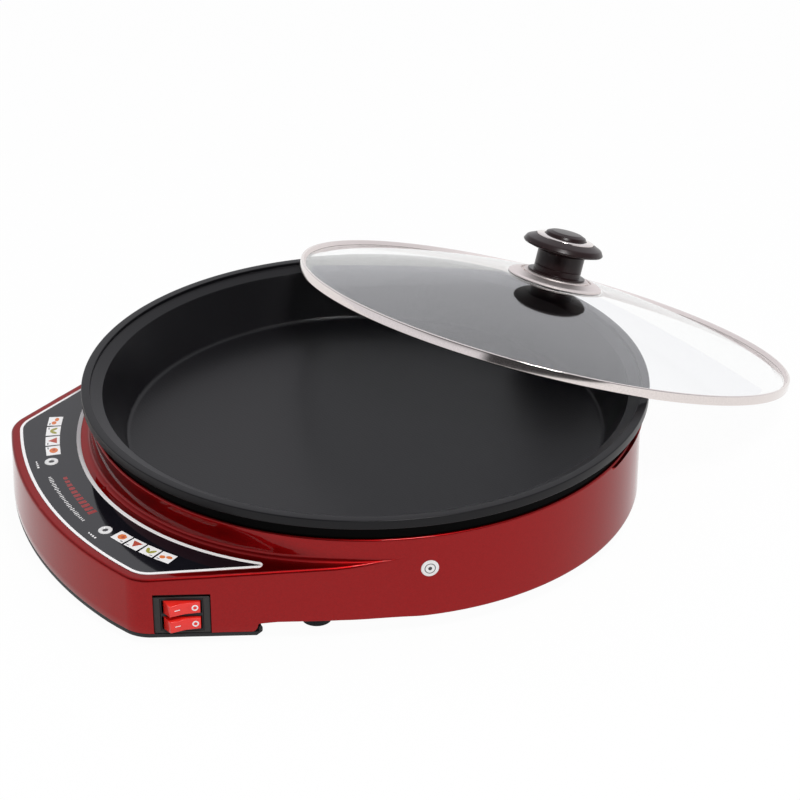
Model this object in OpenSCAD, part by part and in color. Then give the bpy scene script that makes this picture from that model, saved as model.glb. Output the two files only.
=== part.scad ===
// Round electric skillet: a shallow non-stick pan on a painted housing with a
// control box at the front, and a loose glass lid that leans on the pan's rim.
// Lengths are in millimetres, +Z is up, the table is at Z = 0 and the control
// box faces -Y. The origin is the middle of the whole object's footprint.

/* [Pan] */
// Outer diameter of the pan's rim
rim_d = 400; // [380:1:420]
// Height of the rim's top above the table
rim_z = 91; // [88:0.5:98]
// Height of the rim's outer band
rim_h = 6.5; // [5:0.5:8]
// Width of the rim's flat lip
lip_w = 6.2; // [5:0.2:7]
// Width of the ledge that the lid sits on
ledge_w = 8.4; // [7:0.2:10]
// Depth of the ledge's inner edge below the rim's top
ledge_drop = 5; // [4:0.5:7]
// Depth of the cooking floor below the rim's top
pan_depth = 39.5; // [34:0.5:42]
// Distance from the rim's edge to the flat cooking floor
floor_in = 35; // [32:0.5:45]
// Thickness of the pan's wall
pan_wall = 3; // [2.5:0.1:3.4]
// Thickness of the pan's floor
pan_floor = 4; // [3:0.1:5]
// Inside radius between the pan's floor and its wall
pan_fillet = 7; // [4:0.5:9]

/* [Housing] */
// How far the rim stands out over the drum
rim_over = 5; // [1:0.5:7]
// Height of the seat ring that shows between the drum and the rim
seat_h = 10.7; // [8:0.1:14]
// Height of the drum's lower edge above the table
drum_z = 13; // [11:0.5:16]
// Thickness of the housing's wall
wall = 2.2; // [1.6:0.1:2.8]
// Thickness of the drum's top flange and of the deck
deck_t = 2.5; // [2:0.1:3.5]

/* [Control box] */
// Width of the deck in front of the drum
deck_w = 52; // [46:1:64]
// Radius of the curved front face
front_r = 319; // [290:1:360]
// Angle between a side face and the front-to-back line
side_angle = 24.5; // [20:0.5:28]
// How far a side face stands outside the drum
side_out = 5.5; // [4.5:0.1:7]
// Radius of the box's front corners
corner_r = 24; // [18:0.5:28]
// Height of the box's underside above the table
box_z = 6.2; // [5:0.1:8]
// Length of the box's deep part
box_l = 97; // [91:1:105]
// Height of the deck at the front of the box
deck_z = 48.8; // [47:0.1:54]
// Slope of the deck, down to the front
deck_slope = 3.1; // [1:0.1:5]
// Thickness of the bottom cover
cover_t = 2.8; // [2:0.1:3.2]

/* [Panel] */
// Distance from the deck's edge to the printed film
film_gap = 6.3; // [5:0.1:9]
// Distance from the drum to the film
film_inner_gap = 7.3; // [5:0.1:10]
// Thickness of the film
film_t = 0.5; // [0.3:0.1:0.8]
// Distance of each lamp from the middle of the panel
lamp_x = 51.5; // [40:0.5:60]
// Distance of the lamps behind the nose
lamp_back = 28.5; // [24:0.5:32]
// Diameter of an indicator lens
lens_d = 9.6; // [8:0.2:11]

/* [Switches] */
// Distance of the switches behind the box's front corner
switch_back = 19.5; // [19:0.5:28]
// Length of a rocker at its foot
rocker_l = 25.2; // [22:0.2:26]
// Height of a rocker at its foot
rocker_h = 9.7; // [9:0.1:10.5]
// Angle between off and on
rock_angle = 30; // [24:1:32]
// Width of the switch plate
plate_w = 37.1; // [36:0.1:42]
// Height of the plate's bar above the switches
plate_bar = 1.2; // [1:0.1:3]
// Diameter of a rocker's pivot pin
pivot_d = 3; // [2:0.1:4]

/* [Power inlet] */
// Width of the inlet's socket
socket_w = 24; // [22:0.5:28]
// Height of the inlet's socket
socket_h = 16.5; // [15:0.5:18]
// Depth of the inlet's socket
socket_deep = 17; // [15:0.5:20]
// Height of the socket's middle above the table
inlet_z = 25; // [23:0.5:28]

/* [Lid] */
// Gap between the lid's steel band and the rim's lip
lid_gap = 3.8; // [2:0.2:8]
// Height of the band
band_h = 7; // [6:0.5:9]
// Thickness of the band's sheet
band_t = 1; // [0.6:0.1:1.2]
// Thickness of the glass
glass_t = 3; // [2.6:0.1:4.4]
// Rise of the glass from its rim to its crown
dome_h = 31.3; // [28:0.1:38]
// Slope of the leaning lid
lid_tilt = 19.65; // [16:0.05:24]
// Direction in which the lid slopes down, from +X
lid_dir = 108.85; // [90:0.05:130]

/* [Knob] */
// Diameter of the steel ring under the knob
escutcheon_d = 72; // [64:1:78]
// Diameter of the stem's foot
foot_d = 44; // [38:0.5:48]
// Diameter of the stem
stem_d = 36; // [30:0.5:38]
// Height of the stem, from the steel ring to the cap
stem_h = 17; // [14:0.5:24]
// Diameter of the cap
cap_d = 61.4; // [56:0.2:70]
// Height of the cap
cap_h = 12; // [10:0.5:16]
// Diameter of the steel ring let into the cap
inlay_d = 44; // [40:0.5:48]
// Diameter of the knob's screw
screw_d = 5; // [4:0.5:6]

/* [Heating] */
// Diameter of the outer element's ring
outer_ring_d = 246; // [224:1:270]
// Diameter of the inner element's ring
inner_ring_d = 130; // [110:1:140]
// Diameter of the elements' tube
tube_d = 8; // [6.5:0.5:9]
// Diameter of the circle that the pan's studs stand on
stud_ring_d = 186; // [176:1:196]
// Diameter of a stud
stud_d = 5; // [4:0.5:6]
// Diameter of the heat shield
shield_d = 320; // [290:1:340]
// Height of the heat shield above the base plate
shield_up = 8.5; // [6:0.5:10]

/* [Base] */
// Thickness of the base plate
base_t = 1.5; // [1:0.1:2]
// Diameter of a foot
pad_d = 22; // [18:0.5:26]
// Distance of the feet inside the drum's wall
pad_in = 19; // [17:1:30]
// Angle of the feet from the left-right line
pad_angle = 37; // [30:1:45]
// Diameter of the small screws
small_d = 3.2; // [2.5:0.1:4]

/* [Hidden] */
$fn = 96;

// Gap between pieces that lie loose on each other
gap = 0.3;
// Gap round a piece that is let into another
snug = 0.1;
// Radial clearance of a turning pin
run = 0.05;
// Larger than the whole object, for cutting
far = 600;

// Colours
black = "#1c1b1e";
dark = "#3b393c";
red = "#8a1c22";
steel = "#c9c4c4";

// Pan
rim_r = rim_d / 2;
lip_r = rim_r - lip_w;
ledge_r = lip_r - ledge_w;
floor_r = rim_r - floor_in;
lip_step = ledge_drop / 2;
lip_round = 1.5;
floor_z = rim_z - pan_depth;
pan_under = floor_z - pan_floor;
// The pan's wall leans from the ledge's edge to the floor's fillet
wall_lean = atan((ledge_r - floor_r - pan_fillet) / (pan_depth - pan_fillet - ledge_drop));
pan_out_r = ledge_r + pan_wall;

// Housing
drum_r = rim_r - rim_over;
nose = drum_r + deck_w;
box_back = nose - box_l;
drum_top = rim_z - rim_h - seat_h;
base_z = drum_z + 1.1;
base_top = base_z + base_t;
mouth_r = pan_out_r - 1;
side_dist = drum_r + side_out;
front_y = front_r - nose;
cover_top = box_z + cover_t;
// A wing leads from the side face into the drum
wing_at = 12;
wing_turn = 14;
wing_l = 70;

// Panel
film_front_r = front_r - film_gap;
film_side = side_dist - film_gap;
film_inner_r = drum_r + film_inner_gap;
film_corner_r = corner_r - film_gap / 2;
film_tip_r = 3.2;
lamp_y = lamp_back - nose;
lens_flange = 1;
lamp_l = 1.2 * lens_d;

// Switches
switch_at = -corner_at(front_r, side_dist, corner_r) * [sin(side_angle), cos(side_angle)]
    - switch_back;
switch_wall = 0.7;
switch_rail = 1.05;
rocker_gap = 0.2;
pocket_l = rocker_l + 1;
pocket_h = rocker_h + 2 * rocker_gap;
switch_l = pocket_l + 2 * switch_wall;
switch_h = pocket_h + 2 * switch_rail;
switch_deep = 20;
pocket_deep = 12;
plate_recess = 0.6;
plate_t = 3;
plate_sill = 1.75;
lower_z = cover_top + plate_sill + rocker_gap + switch_h / 2;
upper_z = lower_z + switch_h;
plate_z = upper_z + switch_h / 2 + rocker_gap + plate_bar;
pivot_deep = 5.5;
rocker_hub = 3.5;
rocker_foot = 1.2;
rocker_face = 7.6;
rocker_valley = 1.3;
rocker_slope = 2.5;
rocker_draft = 0.85;
tab_w = 6;
tab_t = 0.8;
tab_h = 4.8;
tab_out = 7;

// Power inlet
inlet_wall = 1.6;
inlet_hole_w = socket_w + 2 * (inlet_wall + gap);
inlet_hole_h = socket_h + 2 * (inlet_wall + gap);
inlet_lip = 2;
inlet_flange = 2.4;
inlet_back = 5;
pin_w = 4;
pin_t = 2;
pin_pitch = 7;
pin_rise = 4;

// Lid
lid_r = lip_r - lid_gap;
glass_r = lid_r - band_t - gap;
glass_rim_z = band_t + snug + 0.6;
glass_top = glass_rim_z + glass_t;
dome_r = lid_r - 7;
dome_power = 1.7;
band_edge = 0.6;
crown_z = glass_top + dome_h;
hole_r = screw_d / 2 + 1;
washer_t = 1.5;
head_t = 3;
head_r = screw_d / 2 + 4;
ring_z = crown_z + snug;
ring_t = 2;
stem_z = ring_z + ring_t;
foot_t = 1.4;
cap_z = stem_z + stem_h;
button_t = 4.4;

// The lid's lowest edge stands on the table, and its knob screw leans on the rim
washer_r = head_r + 2;
washer_z = glass_rim_z + glass_z(washer_r) - snug - washer_t;
screw_face = washer_z - snug - head_t;
lid_z = gap + lid_r * sin(lid_tilt);
screw_reach = ((rim_r - lip_round) * sin(lid_tilt) + (rim_z - lip_round - lid_z) * cos(lid_tilt)
    + lip_round + gap - screw_face) / sin(lid_tilt);
band_rise = (rim_z + gap - lid_z) / sin(lid_tilt);
band_reach = band_rise * cos(lid_tilt)
    + sqrt(max(0, rim_r * rim_r - lid_r * lid_r + band_rise * band_rise));
lid_reach = max(screw_reach, band_reach);
lid_x = lid_reach * cos(lid_dir);
lid_y = lid_reach * sin(lid_dir);
lid_nx = sin(lid_tilt) * cos(lid_dir);
lid_ny = sin(lid_tilt) * sin(lid_dir);

// The footprint's corners as seen from the pan's axis
function reach_along(c, n) = c + max(lid_r * sqrt(1 - n * n) + (n > 0 ? band_h - band_edge : 0) * n,
    (lid_r - band_edge) * sqrt(1 - n * n) + (n > 0 ? band_h : 0) * n);
x_low = -max(rim_r, reach_along(-lid_x, -lid_nx));
x_high = max(rim_r, reach_along(lid_x, lid_nx));
y_high = reach_along(lid_y, lid_ny);
pan_x = -(x_low + x_high) / 2;
pan_y = (nose - y_high) / 2;

// Heating
outer_ring_r = outer_ring_d / 2;
inner_ring_r = inner_ring_d / 2;
tube_r = tube_d / 2;
tube_z = pan_under - 2 * snug - tube_r;
outer_leg_x = 22;
inner_leg_x = 8;
leg_bend = 10;
collar_up = 0.15;
collar_l = 4;
leg_end = nose - 63;
pin_l = 12;
pin_r = 1.8;
clamp_top = pan_under - 4 * snug - tube_d;
clamp_t = 1.5;
clamp_w = 14;
nut_h = 4;
stud_r = stud_d / 2;
stud_angles = [90, 210, 330];
shield_t = 0.8;
shield_lip = 7;
shield_z = base_top + shield_up;
clamp_low = clamp_top - clamp_t;
stub_r = 2;
stub_x = 18;
stub_l = 15;
thermostat_r = 8.5;
thermostat_h = 8;
strap_t = 1.2;

// Base
pad_r = pad_d / 2;
pad_at = drum_r - pad_in;
small_r = small_d / 2;
boss_r = small_r + 3.4;
boss_angles = [8, 62, 118, 172];
boss_at = drum_r - wall - boss_r + 1;
boss_h = 13;
cover_boss_back = 25.9;
cover_boss_side = switch_at - cover_boss_back;
cover_boss_in = 23.5;
cover_boss_gap = 1.4;
block_l = 34;
block_w = 16;
block_h = 14;
block_x = -14;
block_y = 12 - nose + 30;
wire_r = 1.4;
earth_x = -70;
earth_y = 22 - box_back;

// Points along an arc about c
function arc(c, r, from, to, n) = [for (i = [0 : n]) c + r * [cos(from + (to - from) * i / n),
    sin(from + (to - from) * i / n)]];
function flip(points) = [for (i = [len(points) - 1 : -1 : 0]) [-points[i][0], points[i][1]]];
// A point by its distance from the pan's axis, square to the right side face, and along that face
function beside(dist, along) = [cos(side_angle) * dist + sin(side_angle) * along,
    cos(side_angle) * along - sin(side_angle) * dist];
function deck_at(y) = deck_z + (y + nose) * tan(deck_slope);
// Where a round corner of radius r between the front and the side has its middle
function corner_turn(front, side, r) =
    asin((side - r + front_y * sin(side_angle)) / (front - r)) - side_angle;
function corner_at(front, side, r) = [(front - r) * sin(corner_turn(front, side, r)),
    front_y - (front - r) * cos(corner_turn(front, side, r))];
// Right half of the front: half the front arc, then the corner
function front_half(front, side, r) = concat(
    arc([0, front_y], front, -90, corner_turn(front, side, r) - 90, 12),
    arc(corner_at(front, side, r), r, corner_turn(front, side, r) - 90, -side_angle, 8));
function glass_z(r) = dome_h * (1 - pow(min(r, dome_r) / dome_r, dome_power));

// Everything but the lid is drawn about the pan's axis
module on_pan() { translate([pan_x, pan_y, 0]) children(); }
// Local +X leaves the right side face, +Y runs along it to the back
module on_side(along) {
    translate(concat(beside(side_dist, -along), 0)) rotate([0, 0, -side_angle]) children();
}
// Local +Z leaves the deck
module on_deck(x, y) { translate([x, y, deck_at(y)]) rotate([deck_slope, 0, 0]) children(); }
// A slab that lies along the deck, from low to high above it
module deck_slab(low, high) {
    translate([0, -nose, deck_z]) rotate([deck_slope, 0, 0])
        translate([-far / 2, -far / 2, low]) cube([far, far, high - low]);
}
module tube(outer, inner, h) {
    difference() {
        cylinder(r = outer, h = h);
        translate([0, 0, -1]) cylinder(r = inner, h = h + 2);
    }
}
module hex_nut(bore_r, h) {
    difference() {
        cylinder(r = bore_r * 1.85, h = h, $fn = 6);
        translate([0, 0, -1]) cylinder(r = bore_r + run, h = h + 2);
    }
}
// A pan-head screw that enters along +Z, its head's seat at Z = 0
module screw(r, l) {
    cylinder(r = r, h = l);
    translate([0, 0, -0.7 * r]) cylinder(r = 1.9 * r, h = 0.7 * r);
    translate([0, 0, -1.2 * r]) cylinder(r1 = 1.3 * r, r2 = 1.9 * r, h = 0.5 * r);
}
// Outline of the control box with its wings, drawn in by d
module box_outline(d) {
    front = front_half(front_r - d, side_dist - d, corner_r - d);
    wing = beside(side_dist - d, -wing_at);
    tip = wing + wing_l * [sin(side_angle - wing_turn), cos(side_angle - wing_turn)];
    half = concat(front, [wing, tip, [0, tip[1]]]);
    polygon(concat(flip(half), half));
}
module body_outline(d) {
    circle(r = drum_r - d);
    box_outline(d);
}
// Outline of the film, whose two tips are rounded between its side and its inner edge
module film_outline() {
    tip_at = film_inner_r + film_tip_r;
    tip_turn = -side_angle - acos((film_side - film_tip_r) / tip_at);
    tip = tip_at * [cos(tip_turn), sin(tip_turn)];
    half = concat(front_half(film_front_r, film_side, film_corner_r),
        arc(tip, film_tip_r, -side_angle, tip_turn + 180, 10),
        arc([0, 0], film_inner_r, tip_turn, -90, 24));
    polygon(concat(flip(half), half));
}
// Places that repeat
module at_feet() {
    for (a = [pad_angle, 180 - pad_angle, 180 + pad_angle, -pad_angle])
        translate([pad_at * cos(a), pad_at * sin(a), 0]) children();
}
module at_studs() {
    for (a = stud_angles)
        rotate([0, 0, a]) translate([stud_ring_d / 2, 0, 0]) children();
}
module at_bosses() {
    for (a = boss_angles) translate([boss_at * cos(a), boss_at * sin(a), 0]) children();
}
module at_cover_bosses() {
    side = beside(side_dist - cover_boss_in, -cover_boss_side);
    front_x = lamp_x - lens_d / 2 - boss_r - cover_boss_gap;
    front = [front_x, front_y - sqrt(pow(front_r - cover_boss_in, 2) - front_x * front_x)];
    for (p = [side, front], m = [-1, 1]) translate([m * p[0], p[1], 0]) children();
}
module at_lamps() {
    for (m = [-1, 1]) on_deck(m * lamp_x, lamp_y) children();
}
module at_stubs() {
    for (m = [-1, 1]) translate([m * stub_x, 0, 0]) children();
}
// Local +Z is the lid's axis, from the plane of the band's lower edge
module on_lid() {
    translate([pan_x + lid_x, pan_y + lid_y, lid_z]) rotate([0, lid_tilt, lid_dir]) children();
}

// Cast aluminium pan with a black non-stick coat
module pan() {
    inside = concat([[0, floor_z]],
        arc([floor_r, floor_z + pan_fillet], pan_fillet, -90, -wall_lean, 6),
        arc([ledge_r + 1, rim_z - ledge_drop - 1], 1, 180 - wall_lean, 90, 3),
        [[lip_r, rim_z - lip_step]],
        arc([lip_r + 0.8, rim_z - 0.8], 0.8, 180, 90, 3),
        arc([rim_r - lip_round, rim_z - lip_round], lip_round, 90, 0, 4));
    outside = concat([[rim_r, rim_z - rim_h], [pan_out_r, rim_z - rim_h]],
        arc([floor_r, floor_z + pan_fillet], pan_fillet + pan_floor, -wall_lean, -90, 6),
        [[0, pan_under]]);
    color(dark) on_pan() rotate_extrude() polygon(concat(inside, outside));
}
// Heat-proof ring that the rim rests on, with a spigot into the drum's mouth
module pan_seat_ring() {
    color(black) on_pan() rotate_extrude() polygon([
        [pan_out_r + gap, drum_top - deck_t], [mouth_r + 2 - snug, drum_top - deck_t],
        [mouth_r + 2 - snug, drum_top], [drum_r - 2, drum_top],
        [drum_r - 3, rim_z - rim_h], [pan_out_r + gap, rim_z - rim_h]]);
}
// Painted shell: the drum and the control box in one piece
module housing_shell() {
    color(red) on_pan() difference() {
        union() {
            translate([0, 0, drum_z]) cylinder(r = drum_r, h = drum_top - drum_z);
            intersection() {
                difference() {
                    translate([0, 0, cover_top]) linear_extrude(drum_top - cover_top) box_outline(0);
                    translate([-far / 2, -box_back - wall - gap, -1]) cube([far, far, drum_z + 1]);
                }
                deck_slab(-far / 2, 0);
            }
        }
        difference() {
            translate([0, 0, -1]) cylinder(r = drum_r - wall, h = drum_top - deck_t + 1);
            for (a = boss_angles)
                translate([boss_at * cos(a), boss_at * sin(a), base_top]) cylinder(r = boss_r, h = boss_h);
        }
        cylinder(r = mouth_r + 2, h = far);
        difference() {
            intersection() {
                translate([0, 0, -1]) linear_extrude(far / 2) box_outline(wall);
                deck_slab(-far / 2, -deck_t);
            }
            at_cover_bosses() translate([0, 0, cover_top]) cylinder(r = boss_r, h = far / 4);
        }
        at_bosses() cylinder(r = small_r + run, h = base_top + boss_h - 2);
        at_cover_bosses() cylinder(r = small_r + run, h = cover_top + boss_h);
        at_lamps() translate([0, 0, -far / 40]) cylinder(r = lens_d / 2 - 1 + snug, h = far / 30);
        on_side(switch_at) translate([-wall - 4, -plate_w / 2 - gap, 0])
            cube([wall + 9, plate_w + 2 * gap, plate_z + gap]);
        mirror([1, 0, 0]) on_side(switch_at)
            translate([-wall - 4, -inlet_hole_w / 2, inlet_z - inlet_hole_h / 2])
            cube([wall + 9, inlet_hole_w, inlet_hole_h]);
    }
}
// Black plate that closes the control box from below, with a lip up its back
module bottom_cover() {
    color(black) on_pan() difference() {
        translate([0, 0, box_z]) linear_extrude(base_z - box_z) difference() {
            body_outline(gap);
            translate([-far / 2, -box_back]) square(far);
        }
        translate([0, 0, cover_top]) linear_extrude(far) difference() {
            body_outline(-1);
            translate([-far / 2, -box_back - wall]) square(far);
        }
        translate([0, 0, cover_top]) linear_extrude(far) difference() {
            body_outline(-1);
            body_outline(wall + gap);
            translate([-far / 2, -box_back - wall]) square(far);
        }
        translate([0, 0, drum_z - gap]) linear_extrude(far) difference() {
            body_outline(-1);
            body_outline(wall + gap);
        }
        at_cover_bosses() cylinder(r = small_r + snug, h = far);
        translate([block_x, block_y, 0]) cylinder(r = small_r + snug, h = far);
    }
}
module cover_screws() {
    color(steel) on_pan() at_cover_bosses() translate([0, 0, box_z]) screw(small_r, cover_t + boss_h - 3);
}
// Zinc-coated steel plate that closes the drum from below
module base_plate() {
    color("#a9abad") on_pan() difference() {
        translate([0, 0, base_z]) linear_extrude(base_t) difference() {
            body_outline(wall + gap);
            translate([-far / 2, -box_back - wall - far]) square(far);
        }
        at_bosses() cylinder(r = small_r + snug, h = far);
        at_feet() cylinder(r = small_r + snug, h = far);
        at_studs() cylinder(r = stud_r + snug, h = far);
        translate([earth_x, earth_y, 0]) cylinder(r = small_r + snug, h = far);
    }
}
module base_screws() {
    color(steel) on_pan() at_bosses() translate([0, 0, base_z]) screw(small_r, base_t + boss_h - 3);
}
// Rubber feet with a recess for the screw
module feet() {
    color(black) on_pan() at_feet() difference() {
        cylinder(r1 = pad_r - 1, r2 = pad_r, h = base_z);
        translate([0, 0, -1]) cylinder(r = 2.2 * small_r, h = base_z / 2 + 1);
        cylinder(r = small_r + snug, h = far);
    }
}
module foot_screws() {
    color(steel) on_pan() at_feet() translate([0, 0, base_z / 2]) screw(small_r, base_z / 2 + base_t + nut_h);
}
module foot_nuts() {
    color(steel) on_pan() at_feet() translate([0, 0, base_top]) hex_nut(small_r, nut_h - 1);
}
// Tube element: an open ring whose two legs turn out to the front, with a collar at each join
module element(ring_r, leg_x) {
    turn = asin((leg_x + leg_bend) / (ring_r + leg_bend));
    bend_y = -(ring_r + leg_bend) * cos(turn);
    translate([0, 0, tube_z]) {
        rotate([0, 0, turn - 90]) rotate_extrude(angle = 360 - 2 * turn)
            translate([ring_r, 0]) circle(r = tube_r);
        for (m = [0, 1]) mirror([m, 0, 0]) {
            translate([leg_x + leg_bend, bend_y, 0]) rotate([0, 0, 90 + turn])
                rotate_extrude(angle = 90 - turn) translate([leg_bend, 0]) circle(r = tube_r);
            translate([leg_x, bend_y, 0]) rotate([90, 0, 0]) cylinder(r = tube_r, h = leg_end + bend_y);
            translate([leg_x, bend_y + collar_l / 2, 0]) rotate([90, 0, 0])
                cylinder(r = tube_r + collar_up, h = collar_l);
            rotate([0, 0, turn]) translate([-collar_l / 2, -ring_r, 0]) rotate([0, 90, 0])
                cylinder(r = tube_r + collar_up, h = collar_l);
            translate([leg_x, 1 - leg_end, 0]) rotate([90, 0, 0]) cylinder(r = pin_r, h = pin_l + 1);
        }
    }
}
module outer_element() { color("#6d6a66") on_pan() element(outer_ring_r, outer_leg_x); }
module inner_element() { color("#6d6a66") on_pan() element(inner_ring_r, inner_leg_x); }
// Steel bars that press both elements to the pan
module element_clamps() {
    low = inner_ring_r - tube_d;
    high = outer_ring_r + tube_d;
    color(steel) on_pan() for (a = stud_angles) rotate([0, 0, a]) difference() {
        translate([low, -clamp_w / 2, clamp_low]) cube([high - low, clamp_w, clamp_t]);
        translate([stud_ring_d / 2, 0, 0]) cylinder(r = stud_r + snug, h = far);
    }
}
module pan_studs() {
    color(steel) on_pan() at_studs() translate([0, 0, base_z - nut_h - 2])
        cylinder(r = stud_r, h = pan_under - base_z + nut_h + 2);
}
module clamp_nuts() {
    color(steel) on_pan() at_studs() translate([0, 0, clamp_low - nut_h]) hex_nut(stud_r, nut_h);
}
// Sleeves that hold the heat shield between the clamps and the base plate
module stud_spacers() {
    color(steel) on_pan() at_studs() {
        translate([0, 0, base_top]) tube(stud_r + 1.5, stud_r + snug, shield_z - base_top);
        translate([0, 0, shield_z + shield_t])
            tube(stud_r + 1.5, stud_r + snug, clamp_low - nut_h - shield_z - shield_t);
    }
}
module heat_shield() {
    color("#b9bbbd") on_pan() difference() {
        translate([0, 0, shield_z]) cylinder(d = shield_d, h = shield_t + shield_lip);
        translate([0, 0, shield_z + shield_t]) cylinder(d = shield_d - 2 * shield_t, h = far);
        at_studs() cylinder(r = stud_r + snug, h = far);
    }
}
module stud_nuts() {
    color(steel) on_pan() at_studs() translate([0, 0, base_z - nut_h]) hex_nut(stud_r, nut_h);
}
// Snap-disc thermostat that touches the pan, with two tabs
module thermostat() {
    color("#e6e0d2") on_pan() translate([0, 0, pan_under - thermostat_h]) {
        cylinder(r = thermostat_r, h = thermostat_h);
        for (x = [-4, 4]) translate([x - tab_w / 4, -2 * thermostat_r, thermostat_h / 2])
            cube([tab_w / 2, 2 * thermostat_r, tab_t]);
    }
}
module thermostat_bracket() {
    color(steel) on_pan() translate([0, 0, pan_under - thermostat_h - strap_t]) difference() {
        translate([-stub_x - 5, -6, 0]) cube([2 * stub_x + 10, 12, strap_t]);
        at_stubs() translate([0, 0, -1]) cylinder(r = stub_r + snug, h = far);
    }
}
module bracket_studs() {
    color(steel) on_pan() at_stubs() translate([0, 0, pan_under - stub_l]) cylinder(r = stub_r, h = stub_l);
}
module bracket_nuts() {
    color(steel) on_pan() at_stubs()
        translate([0, 0, pan_under - thermostat_h - strap_t - nut_h + 1]) hex_nut(stub_r, nut_h - 1);
}
// Printed film on the deck
module panel_film() {
    color(dark) on_pan() difference() {
        intersection() {
            linear_extrude(far / 2) film_outline();
            deck_slab(0, film_t);
        }
        at_lamps() translate([0, 0, -1]) cylinder(r = lens_d / 2 + snug, h = far / 60);
    }
}
// Lamp lenses, let through the film and the deck
module indicator_lenses() {
    color("#7a1512") on_pan() at_lamps() {
        cylinder(r = lens_d / 2, h = lens_flange);
        translate([0, 0, -deck_t - 2]) cylinder(r = lens_d / 2 - 1, h = deck_t + 3);
    }
}
module indicator_lamps() {
    color("#d9cfc4") on_pan() at_lamps() translate([0, 0, -deck_t - 2 - lamp_l])
        cylinder(r = lens_d / 2 - 0.6, h = lamp_l);
}
// Plate that fills the notch in the side wall and frames both switches
module switch_plate() {
    window_low = lower_z - switch_h / 2 - rocker_gap;
    window_high = upper_z + switch_h / 2 + rocker_gap;
    color("#3b3938") on_pan() on_side(switch_at) difference() {
        union() {
            translate([-plate_recess - plate_t, -plate_w / 2, cover_top])
                cube([plate_t, plate_w, plate_z - cover_top]);
            translate([-wall - 2 * gap - 1.5, -plate_w / 2 - 2, cover_top])
                cube([1.5, plate_w + 4, plate_z - cover_top + 2]);
        }
        translate([-far / 2, -switch_l / 2 - rocker_gap, window_low])
            cube([far, switch_l + 2 * rocker_gap, window_high - window_low]);
    }
}
// Rocker switch housing, with a pocket and bores for the rocker's pivot
module switch_body(z) {
    color(black) on_pan() on_side(switch_at) translate([0, 0, z]) difference() {
        translate([-plate_recess - rocker_gap - switch_deep, -switch_l / 2, -switch_h / 2])
            cube([switch_deep, switch_l, switch_h]);
        translate([-pocket_deep, -pocket_l / 2, -pocket_h / 2]) cube([far, pocket_l, pocket_h]);
        translate([-pivot_deep, 0, -switch_h]) cylinder(d = pivot_d + 2 * run, h = 2 * switch_h);
        for (m = [-1, 1]) translate([-far / 2, m * tab_w - tab_t / 2 - snug, -tab_h / 2 - snug])
            cube([far / 2 - pocket_deep - 3, tab_t + 2 * snug, tab_h + 2 * snug]);
    }
}
module switch_body_upper() { switch_body(upper_z); }
module switch_body_lower() { switch_body(lower_z); }
module switch_tabs() {
    low = -plate_recess - rocker_gap - switch_deep - tab_out;
    color("#c8a24a") on_pan() on_side(switch_at) for (z = [lower_z, upper_z], m = [-1, 1])
        translate([low, m * tab_w - tab_t / 2, z - tab_h / 2])
        cube([-pocket_deep - 3 - low, tab_t, tab_h]);
}
// Rocker with a shallow valley and sloping ends and sides, drawn switched off
module rocker(z) {
    half = rocker_l / 2;
    crest = half - rocker_slope;
    top = rocker_face + rocker_valley;
    up = rocker_h / 2;
    color("#e0221d") on_pan() on_side(switch_at) translate([-pivot_deep, 0, z])
        rotate([0, 0, rock_angle / 2]) {
            intersection() {
                translate([0, 0, -up]) linear_extrude(rocker_h) polygon([[rocker_face, 0], [top, crest],
                    [rocker_foot, half], [-rocker_hub, rocker_hub + 1.5], [-rocker_hub, -rocker_hub - 1.5],
                    [rocker_foot, -half], [top, -crest]]);
                rotate([90, 0, 0]) linear_extrude(rocker_l + 2, center = true) polygon([
                    [-rocker_hub - 1, -up], [rocker_foot, -up], [top, rocker_draft - up],
                    [top, up - rocker_draft], [rocker_foot, up], [-rocker_hub - 1, up]]);
            }
            translate([0, 0, -switch_h / 2 + snug]) cylinder(d = pivot_d, h = switch_h - 2 * snug);
        }
}
module rocker_upper() { rocker(upper_z); }
module rocker_lower() { rocker(lower_z); }
// Appliance inlet in the left side wall
module power_inlet() {
    body_w = socket_w + 2 * inlet_wall;
    body_h = socket_h + 2 * inlet_wall;
    color(black) on_pan() mirror([1, 0, 0]) on_side(switch_at) translate([0, 0, inlet_z]) difference() {
        union() {
            translate([-socket_deep - inlet_back, -body_w / 2, -body_h / 2])
                cube([socket_deep + inlet_back, body_w, body_h]);
            translate([0, -body_w / 2 - inlet_flange, -body_h / 2 - inlet_flange])
                cube([inlet_lip, body_w + 2 * inlet_flange, body_h + 2 * inlet_flange]);
        }
        translate([-socket_deep, -socket_w / 2, -socket_h / 2]) cube([far, socket_w, socket_h]);
        at_pins() translate([-far / 2, -pin_t / 2 - snug, -pin_w / 2 - snug])
            cube([far / 2, pin_t + 2 * snug, pin_w + 2 * snug]);
    }
}
// Live and neutral pins low, the earth pin high
module at_pins() {
    for (p = [[-pin_pitch, -pin_rise], [pin_pitch, -pin_rise], [0, pin_rise]])
        translate([0, p[0], p[1]]) children();
}
module inlet_pins() {
    low = -socket_deep - inlet_back - tab_out;
    color(steel) on_pan() mirror([1, 0, 0]) on_side(switch_at) translate([0, 0, inlet_z]) at_pins()
        translate([low, -pin_t / 2, -pin_w / 2]) cube([-3 - low, pin_t, pin_w]);
}
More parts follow.
